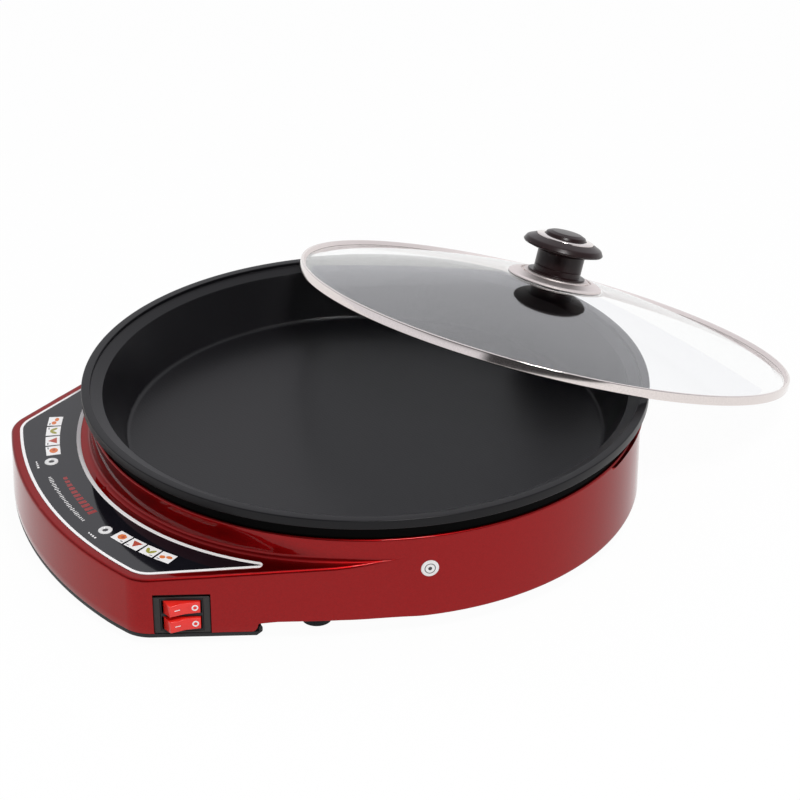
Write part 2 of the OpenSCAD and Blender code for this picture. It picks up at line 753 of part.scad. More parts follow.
// Ceramic block that joins the neutral wires
module terminal_block() {
    color("#ece7dc") on_pan() translate([block_x, block_y, cover_top]) difference() {
        translate([-block_l / 2, -block_w / 2, 0]) cube([block_l, block_w, block_h]);
        for (m = [-1, 1]) translate([m * block_l / 4, 0, block_h / 2]) {
            rotate([90, 0, 0]) cylinder(r = wire_r + 0.4, h = far / 2, center = true);
            cylinder(r = small_r + snug, h = far / 2);
        }
        translate([0, 0, -1]) cylinder(r = small_r + snug, h = block_h - 2);
    }
}
module terminal_screws() {
    color(steel) on_pan() {
        translate([block_x, block_y, box_z]) screw(small_r, cover_t + block_h - 5);
        translate([block_x, block_y, cover_top + block_h / 2 + wire_r + snug]) for (m = [-1, 1])
            translate([m * block_l / 4, 0, 0]) cylinder(r = small_r, h = block_h / 2 - wire_r);
    }
}

// A wire through the points, which turns smoothly between them
function unit(v) = v / norm(v);
function bend(p, i, t) =
    let (n = len(p) - 1, a = p[max(i - 1, 0)], b = p[i], c = p[i + 1], d = p[min(i + 2, n)])
    0.5 * (2 * b + (c - a) * t + (2 * a - 5 * b + 4 * c - d) * t * t + (3 * b - a - 3 * c + d) * t * t * t);
function smooth(p, n) =
    concat([for (i = [0 : len(p) - 2], k = [0 : n - 1]) bend(p, i, k / n)], [p[len(p) - 1]]);
module wire(route) {
    sides = 8;
    p = smooth(route, 3);
    last = len(p) - 1;
    lean = [0.13, 0.21, 1];
    rings = [for (i = [0 : last])
        let (t = unit(p[min(i + 1, last)] - p[max(i - 1, 0)]), u = unit(cross(t, lean)), v = cross(t, u))
        for (k = [0 : sides - 1]) p[i] + wire_r * (u * cos(360 * k / sides) + v * sin(360 * k / sides))];
    ends = [[for (k = [0 : sides - 1]) k], [for (k = [sides - 1 : -1 : 0]) last * sides + k]];
    skin = [for (i = [0 : last - 1], k = [0 : sides - 1])
        let (a = i * sides + k, b = i * sides + (k + 1) % sides)
        each [[a, a + sides, b], [b, a + sides, b + sides]]];
    polyhedron(concat(rings), concat(ends, skin));
}
// Where wires begin and end
function switch_tab(m, z, off) =
    concat(beside(side_dist - plate_recess - rocker_gap - switch_deep - tab_out - off,
        m * tab_w - switch_at), z);
function inlet_tab(m, z, off) = let (p = beside(side_dist - socket_deep - inlet_back - tab_out - off,
    m * pin_pitch - switch_at)) [-p[0], p[1], z];
function in_box(x, back, z) = [x, back - nose, z];
function leg_pin(x, off) = [x, -leg_end - pin_l - off, tube_z];
function thermostat_end(x) = [x, -2 * thermostat_r - tab_gap, pan_under - thermostat_h / 2];
function block_way(back, off) = [block_x - block_l / 4, block_y + back * (block_w / 2 + off),
    cover_top + block_h / 2];
low_pin_z = inlet_z - pin_rise;
high_pin_z = inlet_z + pin_rise;
tab_gap = 0.6;
lead = 6;

module live_wires() {
    color("#8a4a1f") on_pan() {
        wire([inlet_tab(1, low_pin_z, tab_gap + 0.2), inlet_tab(1, low_pin_z, lead), in_box(-76, 67, 13),
            in_box(-30, 65, 12), in_box(30, 65, 12), in_box(74, 59, 13), switch_tab(-1, lower_z, lead),
            switch_tab(-1, lower_z, tab_gap)]);
        wire([switch_tab(-1, lower_z, -2) + [-1.8, -0.6, 3.9], switch_tab(-1, lower_z, 4) + [0, 0, 5],
            switch_tab(-1, upper_z, 5) - [0, 0, 4], switch_tab(-1, upper_z, lead),
            switch_tab(-1, upper_z, tab_gap)]);
    }
}
module element_wires() {
    color("#a31d1d") on_pan() {
        wire([switch_tab(1, upper_z, tab_gap), switch_tab(1, upper_z, lead), in_box(88, 55, 34),
            in_box(60, 42, 38), in_box(32, 39, 42), leg_pin(outer_leg_x, lead),
            leg_pin(outer_leg_x, tab_gap)]);
        wire([switch_tab(1, lower_z, tab_gap), switch_tab(1, lower_z, lead), in_box(82, 61, 22),
            in_box(50, 51, 28), in_box(16, 39, 38), leg_pin(inner_leg_x, lead),
            leg_pin(inner_leg_x, tab_gap)]);
    }
}
module neutral_wires() {
    color("#2f5a9a") on_pan() {
        wire([inlet_tab(-1, low_pin_z, tab_gap), inlet_tab(-1, low_pin_z, lead), in_box(-78, 41, 16),
            in_box(-54, 39, 14), in_box(-37, 35, 14), in_box(-27, 25, 15), block_way(-1, lead),
            block_way(-1, 0), block_way(-1, -4)]);
        wire([block_way(1, -4), block_way(1, 0), block_way(1, lead), in_box(-14, 61, 26), in_box(0, 73, 35),
            [4, -150, 36], [4, -90, 36], [4, -34, 38], thermostat_end(4)]);
        wire([leg_pin(-outer_leg_x, tab_gap), leg_pin(-outer_leg_x, lead), in_box(-30, 47, 35),
            in_box(-18, 69, 35), [-12, -150, 36], [-10, -90, 36], [-5, -34, 38], thermostat_end(-4)]);
        wire([leg_pin(-inner_leg_x, tab_gap), leg_pin(-inner_leg_x, lead), in_box(-13, 39, 38),
            in_box(-22, 38, 38), in_box(-27, 44, 40), leg_pin(-outer_leg_x, 1) + [-1.5, 1, -3.2]]);
    }
}
module earth_wire() {
    end_z = base_top + wire_r + 0.3;
    color("#7f8f2c") on_pan() wire([inlet_tab(0, high_pin_z, tab_gap), inlet_tab(0, high_pin_z, lead),
        in_box(-88, 79, 27), in_box(-78, 99, 22), [earth_x, earth_y - 8, end_z + 1.7],
        [earth_x, earth_y - 4, end_z]]);
}
module earth_screw() {
    color("#c8a24a") on_pan() translate([earth_x, earth_y, base_top + 3]) mirror([0, 0, 1]) {
        screw(small_r, base_t + 6);
        tube(small_r + 1.6, small_r + snug, 3);
    }
}
// Plain round badge on the drum's wall
module badge() {
    color("white") on_pan() rotate([0, 0, -13.9]) translate([drum_r + 0.02, 0, drum_z + 36.5])
        rotate([0, 90, 0]) cylinder(r = 6, h = 0.6);
}

// Domed lid glass with a hole for the knob's screw
module lid_glass() {
    steps = 16;
    radii = [for (i = [0 : steps]) hole_r + (dome_r - hole_r) * i / steps];
    top = [for (r = radii) [r, glass_top + glass_z(r)]];
    under = [for (i = [steps : -1 : 0]) [radii[i], glass_rim_z + glass_z(radii[i])]];
    color("#9aa3a6", 0.4) on_lid() rotate_extrude()
        polygon(concat(top, [[glass_r, glass_top], [glass_r, glass_rim_z]], under));
}
// Steel band folded over the glass's edge
module lid_band() {
    lip = 4;
    color(steel) on_lid() rotate_extrude() polygon([[lid_r - lip, 0], [lid_r, 0], [lid_r, band_h - band_edge],
        [lid_r - band_edge, band_h], [lid_r - lip, band_h], [lid_r - lip, glass_top + snug],
        [lid_r - band_t, glass_top + snug], [lid_r - band_t, glass_rim_z - snug],
        [lid_r - lip, glass_rim_z - snug]]);
}
// Dished steel ring between the glass and the knob
module knob_escutcheon() {
    r = escutcheon_d / 2;
    edge = ring_z - dome_h + glass_z(r) + 0.2;
    color(steel) on_lid() rotate_extrude() polygon([[hole_r, ring_z], [hole_r + 2, ring_z], [r, edge],
        [r, edge + 1], [r - 1.5, edge + 2], [foot_d / 2, ring_z + ring_t], [hole_r, ring_z + ring_t]]);
}
// Heat-proof plastic stem with a flat foot and a blind hole for the screw
module knob_stem() {
    color(black) on_lid() difference() {
        union() {
            translate([0, 0, stem_z]) cylinder(d = foot_d, h = foot_t);
            translate([0, 0, stem_z]) cylinder(d = stem_d, h = stem_h);
        }
        translate([0, 0, stem_z - 1]) cylinder(r = screw_d / 2 + run, h = stem_h - 3);
    }
}
// Mushroom cap, with a groove for the steel ring and a seat for the button
module knob_cap() {
    r = cap_d / 2;
    color("#2a2224") on_lid() rotate_extrude() difference() {
        polygon(concat([[0, cap_z], [stem_d / 2, cap_z], [r - 2, cap_z + 0.32 * cap_h]],
            arc([r - 2, cap_z + 0.32 * cap_h + 2], 2, -60, 60, 6),
            [[inlay_d / 2 + 1, cap_z + 0.9 * cap_h], [inlay_d / 2 - 5, cap_z + cap_h], [0, cap_z + cap_h]]));
        translate([inlay_d / 2 - 3, cap_z + 0.6 * cap_h]) square([3, cap_h]);
    }
}
module knob_ring() {
    low = cap_z + 0.6 * cap_h + snug;
    color(steel) on_lid() rotate_extrude() polygon([[inlay_d / 2 - 3 + snug, low], [inlay_d / 2 - snug, low],
        [inlay_d / 2 - snug, cap_z + 0.97 * cap_h], [inlay_d / 2 - 3 + snug, cap_z + 1.04 * cap_h]]);
}
// Raised disc in the middle of the cap
module knob_button() {
    r = inlay_d / 2 - 6.2;
    low = cap_z + cap_h;
    color("#2a2224") on_lid() rotate_extrude() polygon([[0, low], [r, low], [r, low + 0.5 * button_t],
        [r - 2, low + 0.85 * button_t], [0, low + button_t]]);
}
// Soft washer and screw under the glass
module lid_washer() {
    color(black) on_lid() translate([0, 0, washer_z]) tube(washer_r, screw_d / 2 + snug, washer_t);
}
module knob_screw() {
    color(steel) on_lid() translate([0, 0, screw_face]) {
        cylinder(r = screw_d / 2, h = stem_z + stem_h - 6 - screw_face);
        cylinder(r = head_r, h = head_t);
    }
}

pan();
pan_seat_ring();
housing_shell();
bottom_cover();
cover_screws();
base_plate();
base_screws();
feet();
foot_screws();
foot_nuts();
outer_element();
inner_element();
element_clamps();
pan_studs();
clamp_nuts();
stud_spacers();
heat_shield();
stud_nuts();
thermostat();
thermostat_bracket();
bracket_studs();
bracket_nuts();
panel_film();
indicator_lenses();
indicator_lamps();
switch_plate();
switch_body_upper();
switch_body_lower();
switch_tabs();
rocker_upper();
rocker_lower();
power_inlet();
inlet_pins();
terminal_block();
terminal_screws();
live_wires();
element_wires();
neutral_wires();
earth_wire();
earth_screw();
badge();
lid_glass();
lid_band();
knob_escutcheon();
knob_stem();
knob_cap();
knob_ring();
knob_button();
lid_washer();
knob_screw();
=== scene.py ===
import math

import bmesh
import bpy
from mathutils import Matrix, Vector


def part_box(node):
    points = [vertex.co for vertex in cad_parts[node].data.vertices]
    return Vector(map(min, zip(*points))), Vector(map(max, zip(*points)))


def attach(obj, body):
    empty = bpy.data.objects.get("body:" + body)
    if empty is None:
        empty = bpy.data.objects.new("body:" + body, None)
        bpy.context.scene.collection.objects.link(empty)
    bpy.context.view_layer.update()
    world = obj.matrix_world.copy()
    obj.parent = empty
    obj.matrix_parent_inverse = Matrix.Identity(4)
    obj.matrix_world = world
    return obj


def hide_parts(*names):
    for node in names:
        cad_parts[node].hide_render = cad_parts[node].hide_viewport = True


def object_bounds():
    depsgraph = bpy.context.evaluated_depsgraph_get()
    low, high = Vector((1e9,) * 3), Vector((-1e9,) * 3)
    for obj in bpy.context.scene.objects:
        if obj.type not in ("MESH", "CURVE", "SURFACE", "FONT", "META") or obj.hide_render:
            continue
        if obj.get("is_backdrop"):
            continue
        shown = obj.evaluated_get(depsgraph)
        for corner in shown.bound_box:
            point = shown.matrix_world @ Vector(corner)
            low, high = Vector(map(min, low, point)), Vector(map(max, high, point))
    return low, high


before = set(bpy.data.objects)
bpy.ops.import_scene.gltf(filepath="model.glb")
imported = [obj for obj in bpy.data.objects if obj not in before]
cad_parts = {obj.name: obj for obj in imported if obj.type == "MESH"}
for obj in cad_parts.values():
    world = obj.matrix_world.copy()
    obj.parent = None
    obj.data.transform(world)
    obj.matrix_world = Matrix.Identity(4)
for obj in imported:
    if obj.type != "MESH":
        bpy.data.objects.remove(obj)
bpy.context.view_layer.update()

# Heat shield, clamps and bracket. Pressed steel sheet with a
# hot-dip zinc coat, held by studs and screws. Zinc shows as pale crystals
# a few millimetres wide, with a soft uneven shine.


def ink(code):
    """An sRGB hex colour as the linear colour that a shader takes."""
    parts = [int(code[i:i + 2], 16) / 255 for i in (0, 2, 4)]
    return [c / 12.92 if c <= 0.04045 else ((c + 0.055) / 1.055) ** 2.4 for c in parts] + [1.0]


def put(tree, kind, feeds=None, **settings):
    """Adds a node with its settings; feeds are sockets or plain values, by input."""
    made = tree.nodes.new(kind)
    for name, value in settings.items():
        setattr(made, name, value)
    for where, source in (feeds or {}).items():
        if isinstance(source, bpy.types.NodeSocket):
            tree.links.new(source, made.inputs[where])
        else:
            made.inputs[where].default_value = source
    return made


def finish_named(name, **sockets):
    """A new material: its node tree, its shader and its own place on the piece."""
    made = bpy.data.materials.new(name)
    made.use_nodes = True
    tree = made.node_tree
    shader = tree.nodes["Principled BSDF"]
    for where, value in sockets.items():
        shader.inputs[where.replace("_", " ")].default_value = value
    place = put(tree, "ShaderNodeTexCoord").outputs["Object"]
    return made, tree, shader, place


def colour_between(tree, shader, pattern, dark, light):
    """Lets a pattern run the shader's colour from a dark tone to a light one."""
    tone = put(tree, "ShaderNodeMix", {0: pattern, 6: ink(dark), 7: ink(light)}, data_type="RGBA")
    tree.links.new(tone.outputs[2], shader.inputs["Base Color"])


def per_mm(size):
    """Pattern scale, in repeats to the metre, for a pattern of that size in millimetres."""
    return 1000.0 / size


def ramp(tree, value, start, end, low, high):
    """Runs from low to high while a value goes from start to end."""
    return put(tree, "ShaderNodeMapRange", {"Value": value, "From Min": start, "From Max": end,
                                            "To Min": low, "To Max": high}).outputs["Result"]


def dress(material, *nodes):
    """Gives CAD nodes that stay as they are their material."""
    for node in nodes:
        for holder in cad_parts[node].material_slots:
            holder.material = material


zinc_sheet, tree, shader, place = finish_named("galvanised_steel_sheet", Metallic=1.0)
crystal = put(tree, "ShaderNodeTexVoronoi", {"Vector": place, "Scale": per_mm(6)})
colour_between(tree, shader, crystal.outputs["Color"], "9aa0a3", "c3c8ca")
dull = ramp(tree, crystal.outputs["Distance"], 0.0, 0.6, 0.34, 0.5)
tree.links.new(dull, shader.inputs["Roughness"])
dress(zinc_sheet, "heat_shield", "element_clamps", "thermostat_bracket")

# Screws, nuts, studs and spacers. Turned steel with a bright zinc plate,
# which is smooth but for fine turning marks about 0.4 mm apart.


def mottled(name, size, dark, light, detail=2.0, **sockets):
    """A material that runs between two tones in patches of that size in millimetres."""
    made, tree, shader, place = finish_named(name, **sockets)
    patches = put(tree, "ShaderNodeTexNoise", {"Vector": place, "Scale": per_mm(size), "Detail": detail})
    colour_between(tree, shader, patches.outputs["Fac"], dark, light)
    return made, tree, shader, patches.outputs["Fac"]


zinc_bright, tree, shader, marks = mottled("bright_zinc_plated_steel", 0.4, "bfc1c4", "cdcfd2", 3.0,
                                           Metallic=1.0)
tree.links.new(ramp(tree, marks, 0.0, 1.0, 0.22, 0.42), shader.inputs["Roughness"])
dress(zinc_bright, "cover_screws", "base_screws", "foot_screws", "foot_nuts", "pan_studs",
      "clamp_nuts", "stud_spacers", "stud_nuts", "bracket_studs", "bracket_nuts", "terminal_screws",
      "knob_screw")

# Brass tabs, pins and the earth screw. Stamped strip, bright with faint
# tarnish in patches some 3 mm wide.
brass = mottled("stamped_brass", 3, "b08a3e", "dcbc6a", 4.0, Metallic=1.0, Roughness=0.3)[0]
dress(brass, "switch_tabs", "inlet_pins", "earth_screw")

# Rubber feet, screwed to the base plate, and the washer under the lid.
# Moulded black rubber with a fine matte skin.


def embossed(tree, shader, pattern, strength, depth):
    """Lets a pattern stand out of the surface, by a depth in millimetres."""
    relief = put(tree, "ShaderNodeBump", {"Height": pattern, "Strength": strength,
                                          "Distance": depth / 1000})
    tree.links.new(relief.outputs["Normal"], shader.inputs["Normal"])


rubber, tree, shader, skin = mottled("moulded_black_rubber", 0.5, "161517", "29282a", 4.0,
                                     Roughness=0.75, Specular_IOR_Level=0.3)
embossed(tree, shader, skin, 0.25, 0.1)
dress(rubber, "feet", "lid_washer")

# Both heating elements. Steel tube filled with powder, bent and pressed to
# the pan's underside by the clamps, blued and browned by heat in long patches.
sheath = mottled("heat_blued_steel_tube", 25, "4d4c52", "8a7f74", 5.0, Metallic=1.0, Roughness=0.45)[0]
dress(sheath, "outer_element", "inner_element")

# Thermostat body and terminal block. Pressed steatite, off-white and dull
# with fine specks.
steatite = mottled("pressed_steatite", 0.8, "d8cfbd", "f1ebdf", 6.0, Roughness=0.55)[0]
dress(steatite, "thermostat", "terminal_block")

# Wires between the inlet, the switches, the thermostat and the elements.
# Copper in soft PVC, one colour for each job, with a slight orange-peel skin.
for node, dark, light in (("live_wires", "5d3014", "7a4220"), ("element_wires", "8f1512", "b3231d"),
                          ("neutral_wires", "1f4a8c", "3264ab"), ("earth_wire", "5e7d1d", "8aa32f")):
    dress(mottled("soft_pvc_" + node, 1.5, dark, light, Roughness=0.4)[0], node)

# Neon lamps under the deck. Small clear glass bulbs, a little uneven.
lamp_glass = mottled("blown_lamp_glass", 2, "e6d8c8", "f6efe6", Roughness=0.05,
                     Transmission_Weight=0.7)[0]
dress(lamp_glass, "indicator_lamps")

# Switch housings behind the rockers. Injection-moulded black ABS with a fine
# spark-eroded grain and softly broken edges, held in the switch plate.
black_abs, tree, shader, grain = mottled("moulded_black_abs", 0.35, "131215", "1f1e21", 3.0,
                                         Roughness=0.5, Specular_IOR_Level=0.35)
embossed(tree, shader, grain, 0.2, 0.05)


def smooth_by_angle(mesh, degrees=32):
    """Smooth shading that keeps the edges sharper than that angle."""
    mesh.polygons.foreach_set("use_smooth", [True] * len(mesh.polygons))
    mesh.set_sharp_from_angle(angle=math.radians(degrees))


def settled(made):
    """Turns an object's modifiers into its plain mesh."""
    shaped = made.evaluated_get(bpy.context.evaluated_depsgraph_get())
    finished = bpy.data.meshes.new_from_object(shaped)
    made.modifiers.clear()
    made.data = finished
    return finished


def softened(node, width, material, body, back_r=0.0):
    """A copy of a CAD node with edges broken, and its lower back edge rounded, in millimetres."""
    work = bmesh.new()
    work.from_mesh(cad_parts[node].data)
    bmesh.ops.remove_doubles(work, verts=work.verts, dist=2e-6)
    bmesh.ops.dissolve_limit(work, angle_limit=math.radians(0.6), verts=work.verts, edges=work.edges)
    low = min(v.co.z for v in work.verts) + 1e-5
    back = max(v.co.y for v in work.verts) - 1e-5
    lower_back = [e for e in work.edges if all(v.co.z < low and v.co.y > back for v in e.verts)]
    if back_r:
        bmesh.ops.bevel(work, geom=lower_back, offset=back_r / 1000, segments=8, profile=0.5,
                        affect="EDGES")
    mesh = bpy.data.meshes.new(node + "_moulded")
    work.to_mesh(mesh)
    work.free()
    made = bpy.data.objects.new(node + "_moulded", mesh)
    bpy.context.scene.collection.objects.link(made)
    edge = made.modifiers.new("broken_edges", "BEVEL")
    edge.width = width / 1000
    edge.segments = 3
    edge.limit_method = "ANGLE"
    edge.angle_limit = math.radians(40)
    edge.use_clamp_overlap = True
    finished = settled(made)
    smooth_by_angle(finished)
    finished.materials.clear()
    finished.materials.append(material)
    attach(made, body)
    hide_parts(node)
    return made


softened("switch_body_upper", 0.25, black_abs, "base")
softened("switch_body_lower", 0.25, black_abs, "base")

# Power inlet in the left side wall. The same black ABS, with a lip round
# the socket.
softened("power_inlet", 0.5, black_abs, "base")

# Housing shell: the round drum and the control box, deep-drawn as one piece
# of steel with soft fillets. Metal flakes in the red enamel make it bright where
# it faces light and near black by the pan; a thin clear coat mirrors the room.
pan_low, pan_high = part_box("pan")
pan_axis = Vector(((pan_low[0] + pan_high[0]) * 500, (pan_low[1] + pan_high[1]) * 500, 0.0))
drum_r = 195.0
drum_top = 73.8
drum_low = 13.0
mouth_r = drum_r - 5.6
mouth_deep = 2.5
box_low = 9.0
nose = 247.0
front_r = 319.0
front_y = front_r - nose
corner_r = 24.0
side_angle = math.radians(24.5)
side_dist = 200.5
deck_rise = math.tan(math.radians(3.1))
deck_front = 48.8
sheet_t = 2.0
top_fillet = 1.6
deck_fillet = 4.5
edge_fillet = 2.4
wing_from = -32.0
wing_to = 23.0


def deck_at(y):
    """Height of the deck, by the distance of a point from the pan's axis."""
    return deck_front + (y + nose) * deck_rise


def beside(dist, along):
    """A point by its distance square to the right side face, and along that face."""
    return (math.cos(side_angle) * dist + math.sin(side_angle) * along,
            math.cos(side_angle) * along - math.sin(side_angle) * dist)


def round_arc(middle, r, start, end, steps):
    """Points on an arc, in degrees."""
    turns = [math.radians(start + (end - start) * i / steps) for i in range(steps + 1)]
    return [(middle[0] + r * math.cos(t), middle[1] + r * math.sin(t)) for t in turns]


def front_half(front, side, corner, steps=40):
    """Right half of a front edge: half of the front arc, then the corner."""
    turn = math.asin((side - corner + front_y * math.sin(side_angle)) / (front - corner)) - side_angle
    middle = ((front - corner) * math.sin(turn), front_y - (front - corner) * math.cos(turn))
    deg = math.degrees(turn)
    return (round_arc((0.0, front_y), front, -90, deg - 90, steps)
            + round_arc(middle, corner, deg - 90, -math.degrees(side_angle), 20)[1:])


def run_out():
    """The side face, and the curve by which it runs out into the drum."""
    first = [beside(side_dist, s) for s in (-140, -120, -100, -80, -64, -52, -44, -37)]
    a = Vector(beside(side_dist, wing_from))
    a_way = Vector((math.sin(side_angle), math.cos(side_angle)))
    end = -side_angle + math.asin(wing_to / drum_r)
    b = Vector((drum_r * math.cos(end), drum_r * math.sin(end)))
    b_way = Vector((-math.sin(end), math.cos(end)))
    pull = (b - a).length * 0.36
    bend = []
    for i in range(25):
        t = i / 24
        p = ((1 - t) ** 3 * a + 3 * (1 - t) ** 2 * t * (a + a_way * pull)
             + 3 * (1 - t) * t * t * (b - b_way * pull) + t ** 3 * b)
        bend.append((p.x, p.y))
    return first + bend


right_edge = front_half(front_r, side_dist, corner_r) + run_out()
edge_turns = [math.atan2(y, x) for x, y in right_edge]
edge_reach = [math.hypot(x, y) for x, y in right_edge]


def reach_at(turn):
    """Distance from the pan's axis to the outer wall, in that direction."""
    t = math.atan2(math.sin(turn), math.cos(turn))
    if t < -math.pi / 2 or t > math.pi / 2:
        t = math.atan2(math.sin(t), -math.cos(t))
    if t >= edge_turns[-1]:
        return drum_r
    for i in range(len(edge_turns) - 1):
        if edge_turns[i] <= t <= edge_turns[i + 1]:
            k = (t - edge_turns[i]) / max(edge_turns[i + 1] - edge_turns[i], 1e-9)
            return edge_reach[i] + (edge_reach[i + 1] - edge_reach[i]) * k
    return edge_reach[0]


def along_turn(along):
    """Direction, from the pan's axis, of a place on the right side face."""
    x, y = beside(side_dist, along)
    return math.atan2(y, x)


plate_low, plate_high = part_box("switch_plate")
plate_mid = (Vector(plate_low) + Vector(plate_high)) * 500 - pan_axis
switch_at = -plate_mid.x * math.sin(side_angle) - plate_mid.y * math.cos(side_angle)
plate_half = 18.55
fit = 0.3
notch_half = plate_half + fit
notch_top = plate_high[2] * 1000 + fit
inlet_half = 13.9
inlet_rows = (35.15, 14.85)
step_from = -80.5
step_r = 4.2
wing_lift = 2.9
wing_turns = (math.radians(-31), math.radians(-15.5))
front_flare = 1.2
flare_turns = (math.radians(-68), math.radians(-60))
notch_turns = [along_turn(-switch_at - notch_half), along_turn(-switch_at + notch_half)]
inlet_turns = [math.pi - along_turn(-switch_at + inlet_half),
               math.pi - along_turn(-switch_at - inlet_half)]
step_turns = [along_turn(step_from + step_r * i / 8) for i in range(9)]
turns = edge_turns + step_turns
turns += [math.pi - t for t in turns] + [math.radians(a) for a in range(-16, 197)]
turns = sorted(set(turns + notch_turns + inlet_turns))
turns = [t for i, t in enumerate(turns) if i == 0 or t - turns[i - 1] > 1e-6]


def fade(turn, full, none):
    """A share that fades from one direction to another, the same on both sides."""
    folded = math.atan2(math.sin(turn), abs(math.cos(turn)))
    return min(max((none - folded) / (none - full), 0.0), 1.0)


def wall_section(turn):
    """The shell's section in that direction, from the mouth's edge down to the lower edge."""
    far_r = reach_at(turn)
    width = max(far_r - drum_r, 0.0)
    sx, sy = math.cos(turn), math.sin(turn)
    deck_in = deck_at(drum_r * sy)
    inner = min(deck_fillet, 0.5 * width)
    outer = min(edge_fillet, 0.4 * width)
    quarter = [math.radians(15 * i) for i in range(1, 7)]
    section = [(mouth_r, drum_top - mouth_deep), (mouth_r, drum_top - 0.4), (mouth_r + 0.4, drum_top)]
    top = drum_top - top_fillet
    bend = drum_r - top_fillet
    section += [(bend, drum_top)]
    section += [(bend + top_fillet * math.sin(a), top + top_fillet * math.cos(a)) for a in quarter]
    low = deck_in + deck_fillet
    section += [(drum_r, top + (low - top) * i / 4) for i in range(1, 5)]
    section += [(drum_r + inner * (1 - math.cos(a)), low - deck_fillet * math.sin(a)) for a in quarter]
    flat = max(width - inner - outer, 0.0)
    for i in range(1, 6):
        r = drum_r + inner + flat * i / 6
        section.append((r, deck_at(r * sy)))
    bend = far_r - outer
    lift = deck_at(bend * sy) - edge_fillet
    for i in range(9):
        a = math.radians(90 * i / 8)
        section.append((bend + outer * math.sin(a), lift + edge_fillet * math.cos(a)))
    x, y = far_r * sx, far_r * sy
    back = abs(x) * math.sin(side_angle) + y * math.cos(side_angle)
    step = min(max((back - step_from) / step_r, 0.0), 1.0)
    raised = drum_low + wing_lift * fade(turn, *wing_turns)
    foot = box_low + (raised - box_low) * (1 - math.sqrt(1 - step * step))
    rows = [notch_top, inlet_rows[0], 25.0, max(inlet_rows[1], foot + 1.2)]
    top = section[-1][1]
    flare = front_flare * fade(turn, *flare_turns) / (top - foot)
    walls = [(0.0, (top + notch_top) / 2)] + [(0.0, z) for z in rows]
    walls += [(0.0, foot + 0.8), (0.25, foot + 0.2), (0.8, foot)]
    section += [(far_r - back_in + flare * (top - z), z) for back_in, z in walls]
    return [(r * sx, r * sy, z) for r, z in section]


def held_in(turn_a, turn_b, z_a, z_b, low_turn, high_turn, low_z, high_z):
    """Whether a face of the wall lies in an opening."""
    return (low_turn - 1e-7 <= min(turn_a, turn_b) and max(turn_a, turn_b) <= high_turn + 1e-7
            and low_z - 1e-4 <= min(z_a, z_b) and max(z_a, z_b) <= high_z + 1e-4)


def add_piece(name, points, faces, material, body, replaced=(), sharp=32, more=(), kinds=None,
              sheet=0.0):
    """Makes a piece from points in millimetres and lets it ride on its body."""
    mesh = bpy.data.meshes.new(name)
    mesh.from_pydata([(x / 1000, y / 1000, z / 1000) for x, y, z in points], [], faces)
    for each in (material,) + tuple(more):
        mesh.materials.append(each)
    if kinds is not None:
        mesh.polygons.foreach_set("material_index", kinds)
    mesh.update()
    made = bpy.data.objects.new(name, mesh)
    bpy.context.scene.collection.objects.link(made)
    if sheet:
        thick = made.modifiers.new("sheet", "SOLIDIFY")
        thick.thickness = sheet / 1000
        thick.offset = -1.0
        mesh = settled(made)
    else:
        work = bmesh.new()
        work.from_mesh(mesh)
        bmesh.ops.recalc_face_normals(work, faces=work.faces)
        work.to_mesh(mesh)
        work.free()
    smooth_by_angle(mesh, sharp)
    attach(made, body)
    if replaced:
        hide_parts(*replaced)


red_paint, tree, shader, place = finish_named(
    "clear_coated_metallic_red_enamel_on_steel", Metallic=1.0, Roughness=0.38, Coat_Weight=1.0,
    Coat_Roughness=0.02, Coat_IOR=1.29, Specular_Tint=(0.5, 0.1, 0.1, 1.0))
flake = put(tree, "ShaderNodeTexVoronoi", {"Vector": place, "Scale": per_mm(0.7)})
colour_between(tree, shader, flake.outputs["Color"], "8c090c", "9a0d10")

sections = [wall_section(t) for t in turns]
count = len(turns)
rows = len(sections[0])
points = [(x + pan_axis.x, y + pan_axis.y, z) for section in sections for x, y, z in section]
faces = []
for i in range(count):
    j = (i + 1) % count
    for k in range(rows - 1):
        z_a = sections[i][k][2]
        z_b = sections[i][k + 1][2]
        if j and k >= rows - 9:
            if held_in(turns[i], turns[j], z_a, z_b, *notch_turns, 0.0, notch_top):
                continue
            if held_in(turns[i], turns[j], z_a, z_b, *inlet_turns, inlet_rows[1], inlet_rows[0]):
                continue
        faces.append((i * rows + k, i * rows + k + 1, j * rows + k + 1, j * rows + k))
add_piece("housing_shell_painted", points, faces, red_paint, "base", ("housing_shell",), 40,
          sheet=sheet_t)

# Bottom cover. The same black ABS, screwed into the box from below, so that
# its edge runs round the foot of the red wall and follows the front's flare.
# The corner at its back is rounded.


def shift_rim(piece, within, shift, turns):
    """Moves the rim of a piece outwards, in millimetres, fading from one direction to another."""
    for corner in piece.data.vertices:
        spot = corner.co * 1000 - pan_axis
        turn = math.atan2(spot.y, spot.x)
        reach = math.hypot(spot.x, spot.y)
        if reach > reach_at(turn) - within:
            grown = 1 + shift * fade(turn, *turns) / reach
            corner.co.x = (spot.x * grown + pan_axis.x) / 1000
            corner.co.y = (spot.y * grown + pan_axis.y) / 1000


cover = softened("bottom_cover", 0.5, black_abs, "base", back_r=4.0)
shift_rim(cover, 1.5, front_flare, flare_turns)

# Base plate. The same zinc-coated sheet as the heat shield, screwed under the
# drum, with its rim trimmed back where the wings of the shell lift off it.
plate_trim = 5.0
plate = softened("base_plate", 0.2, zinc_sheet, "base")
shift_rim(plate, 4.0, -plate_trim, wing_turns)

# Seat ring between the pan's rim and the drum. Black heat-proof phenolic,
# moulded, with a spigot that drops into the drum's mouth.


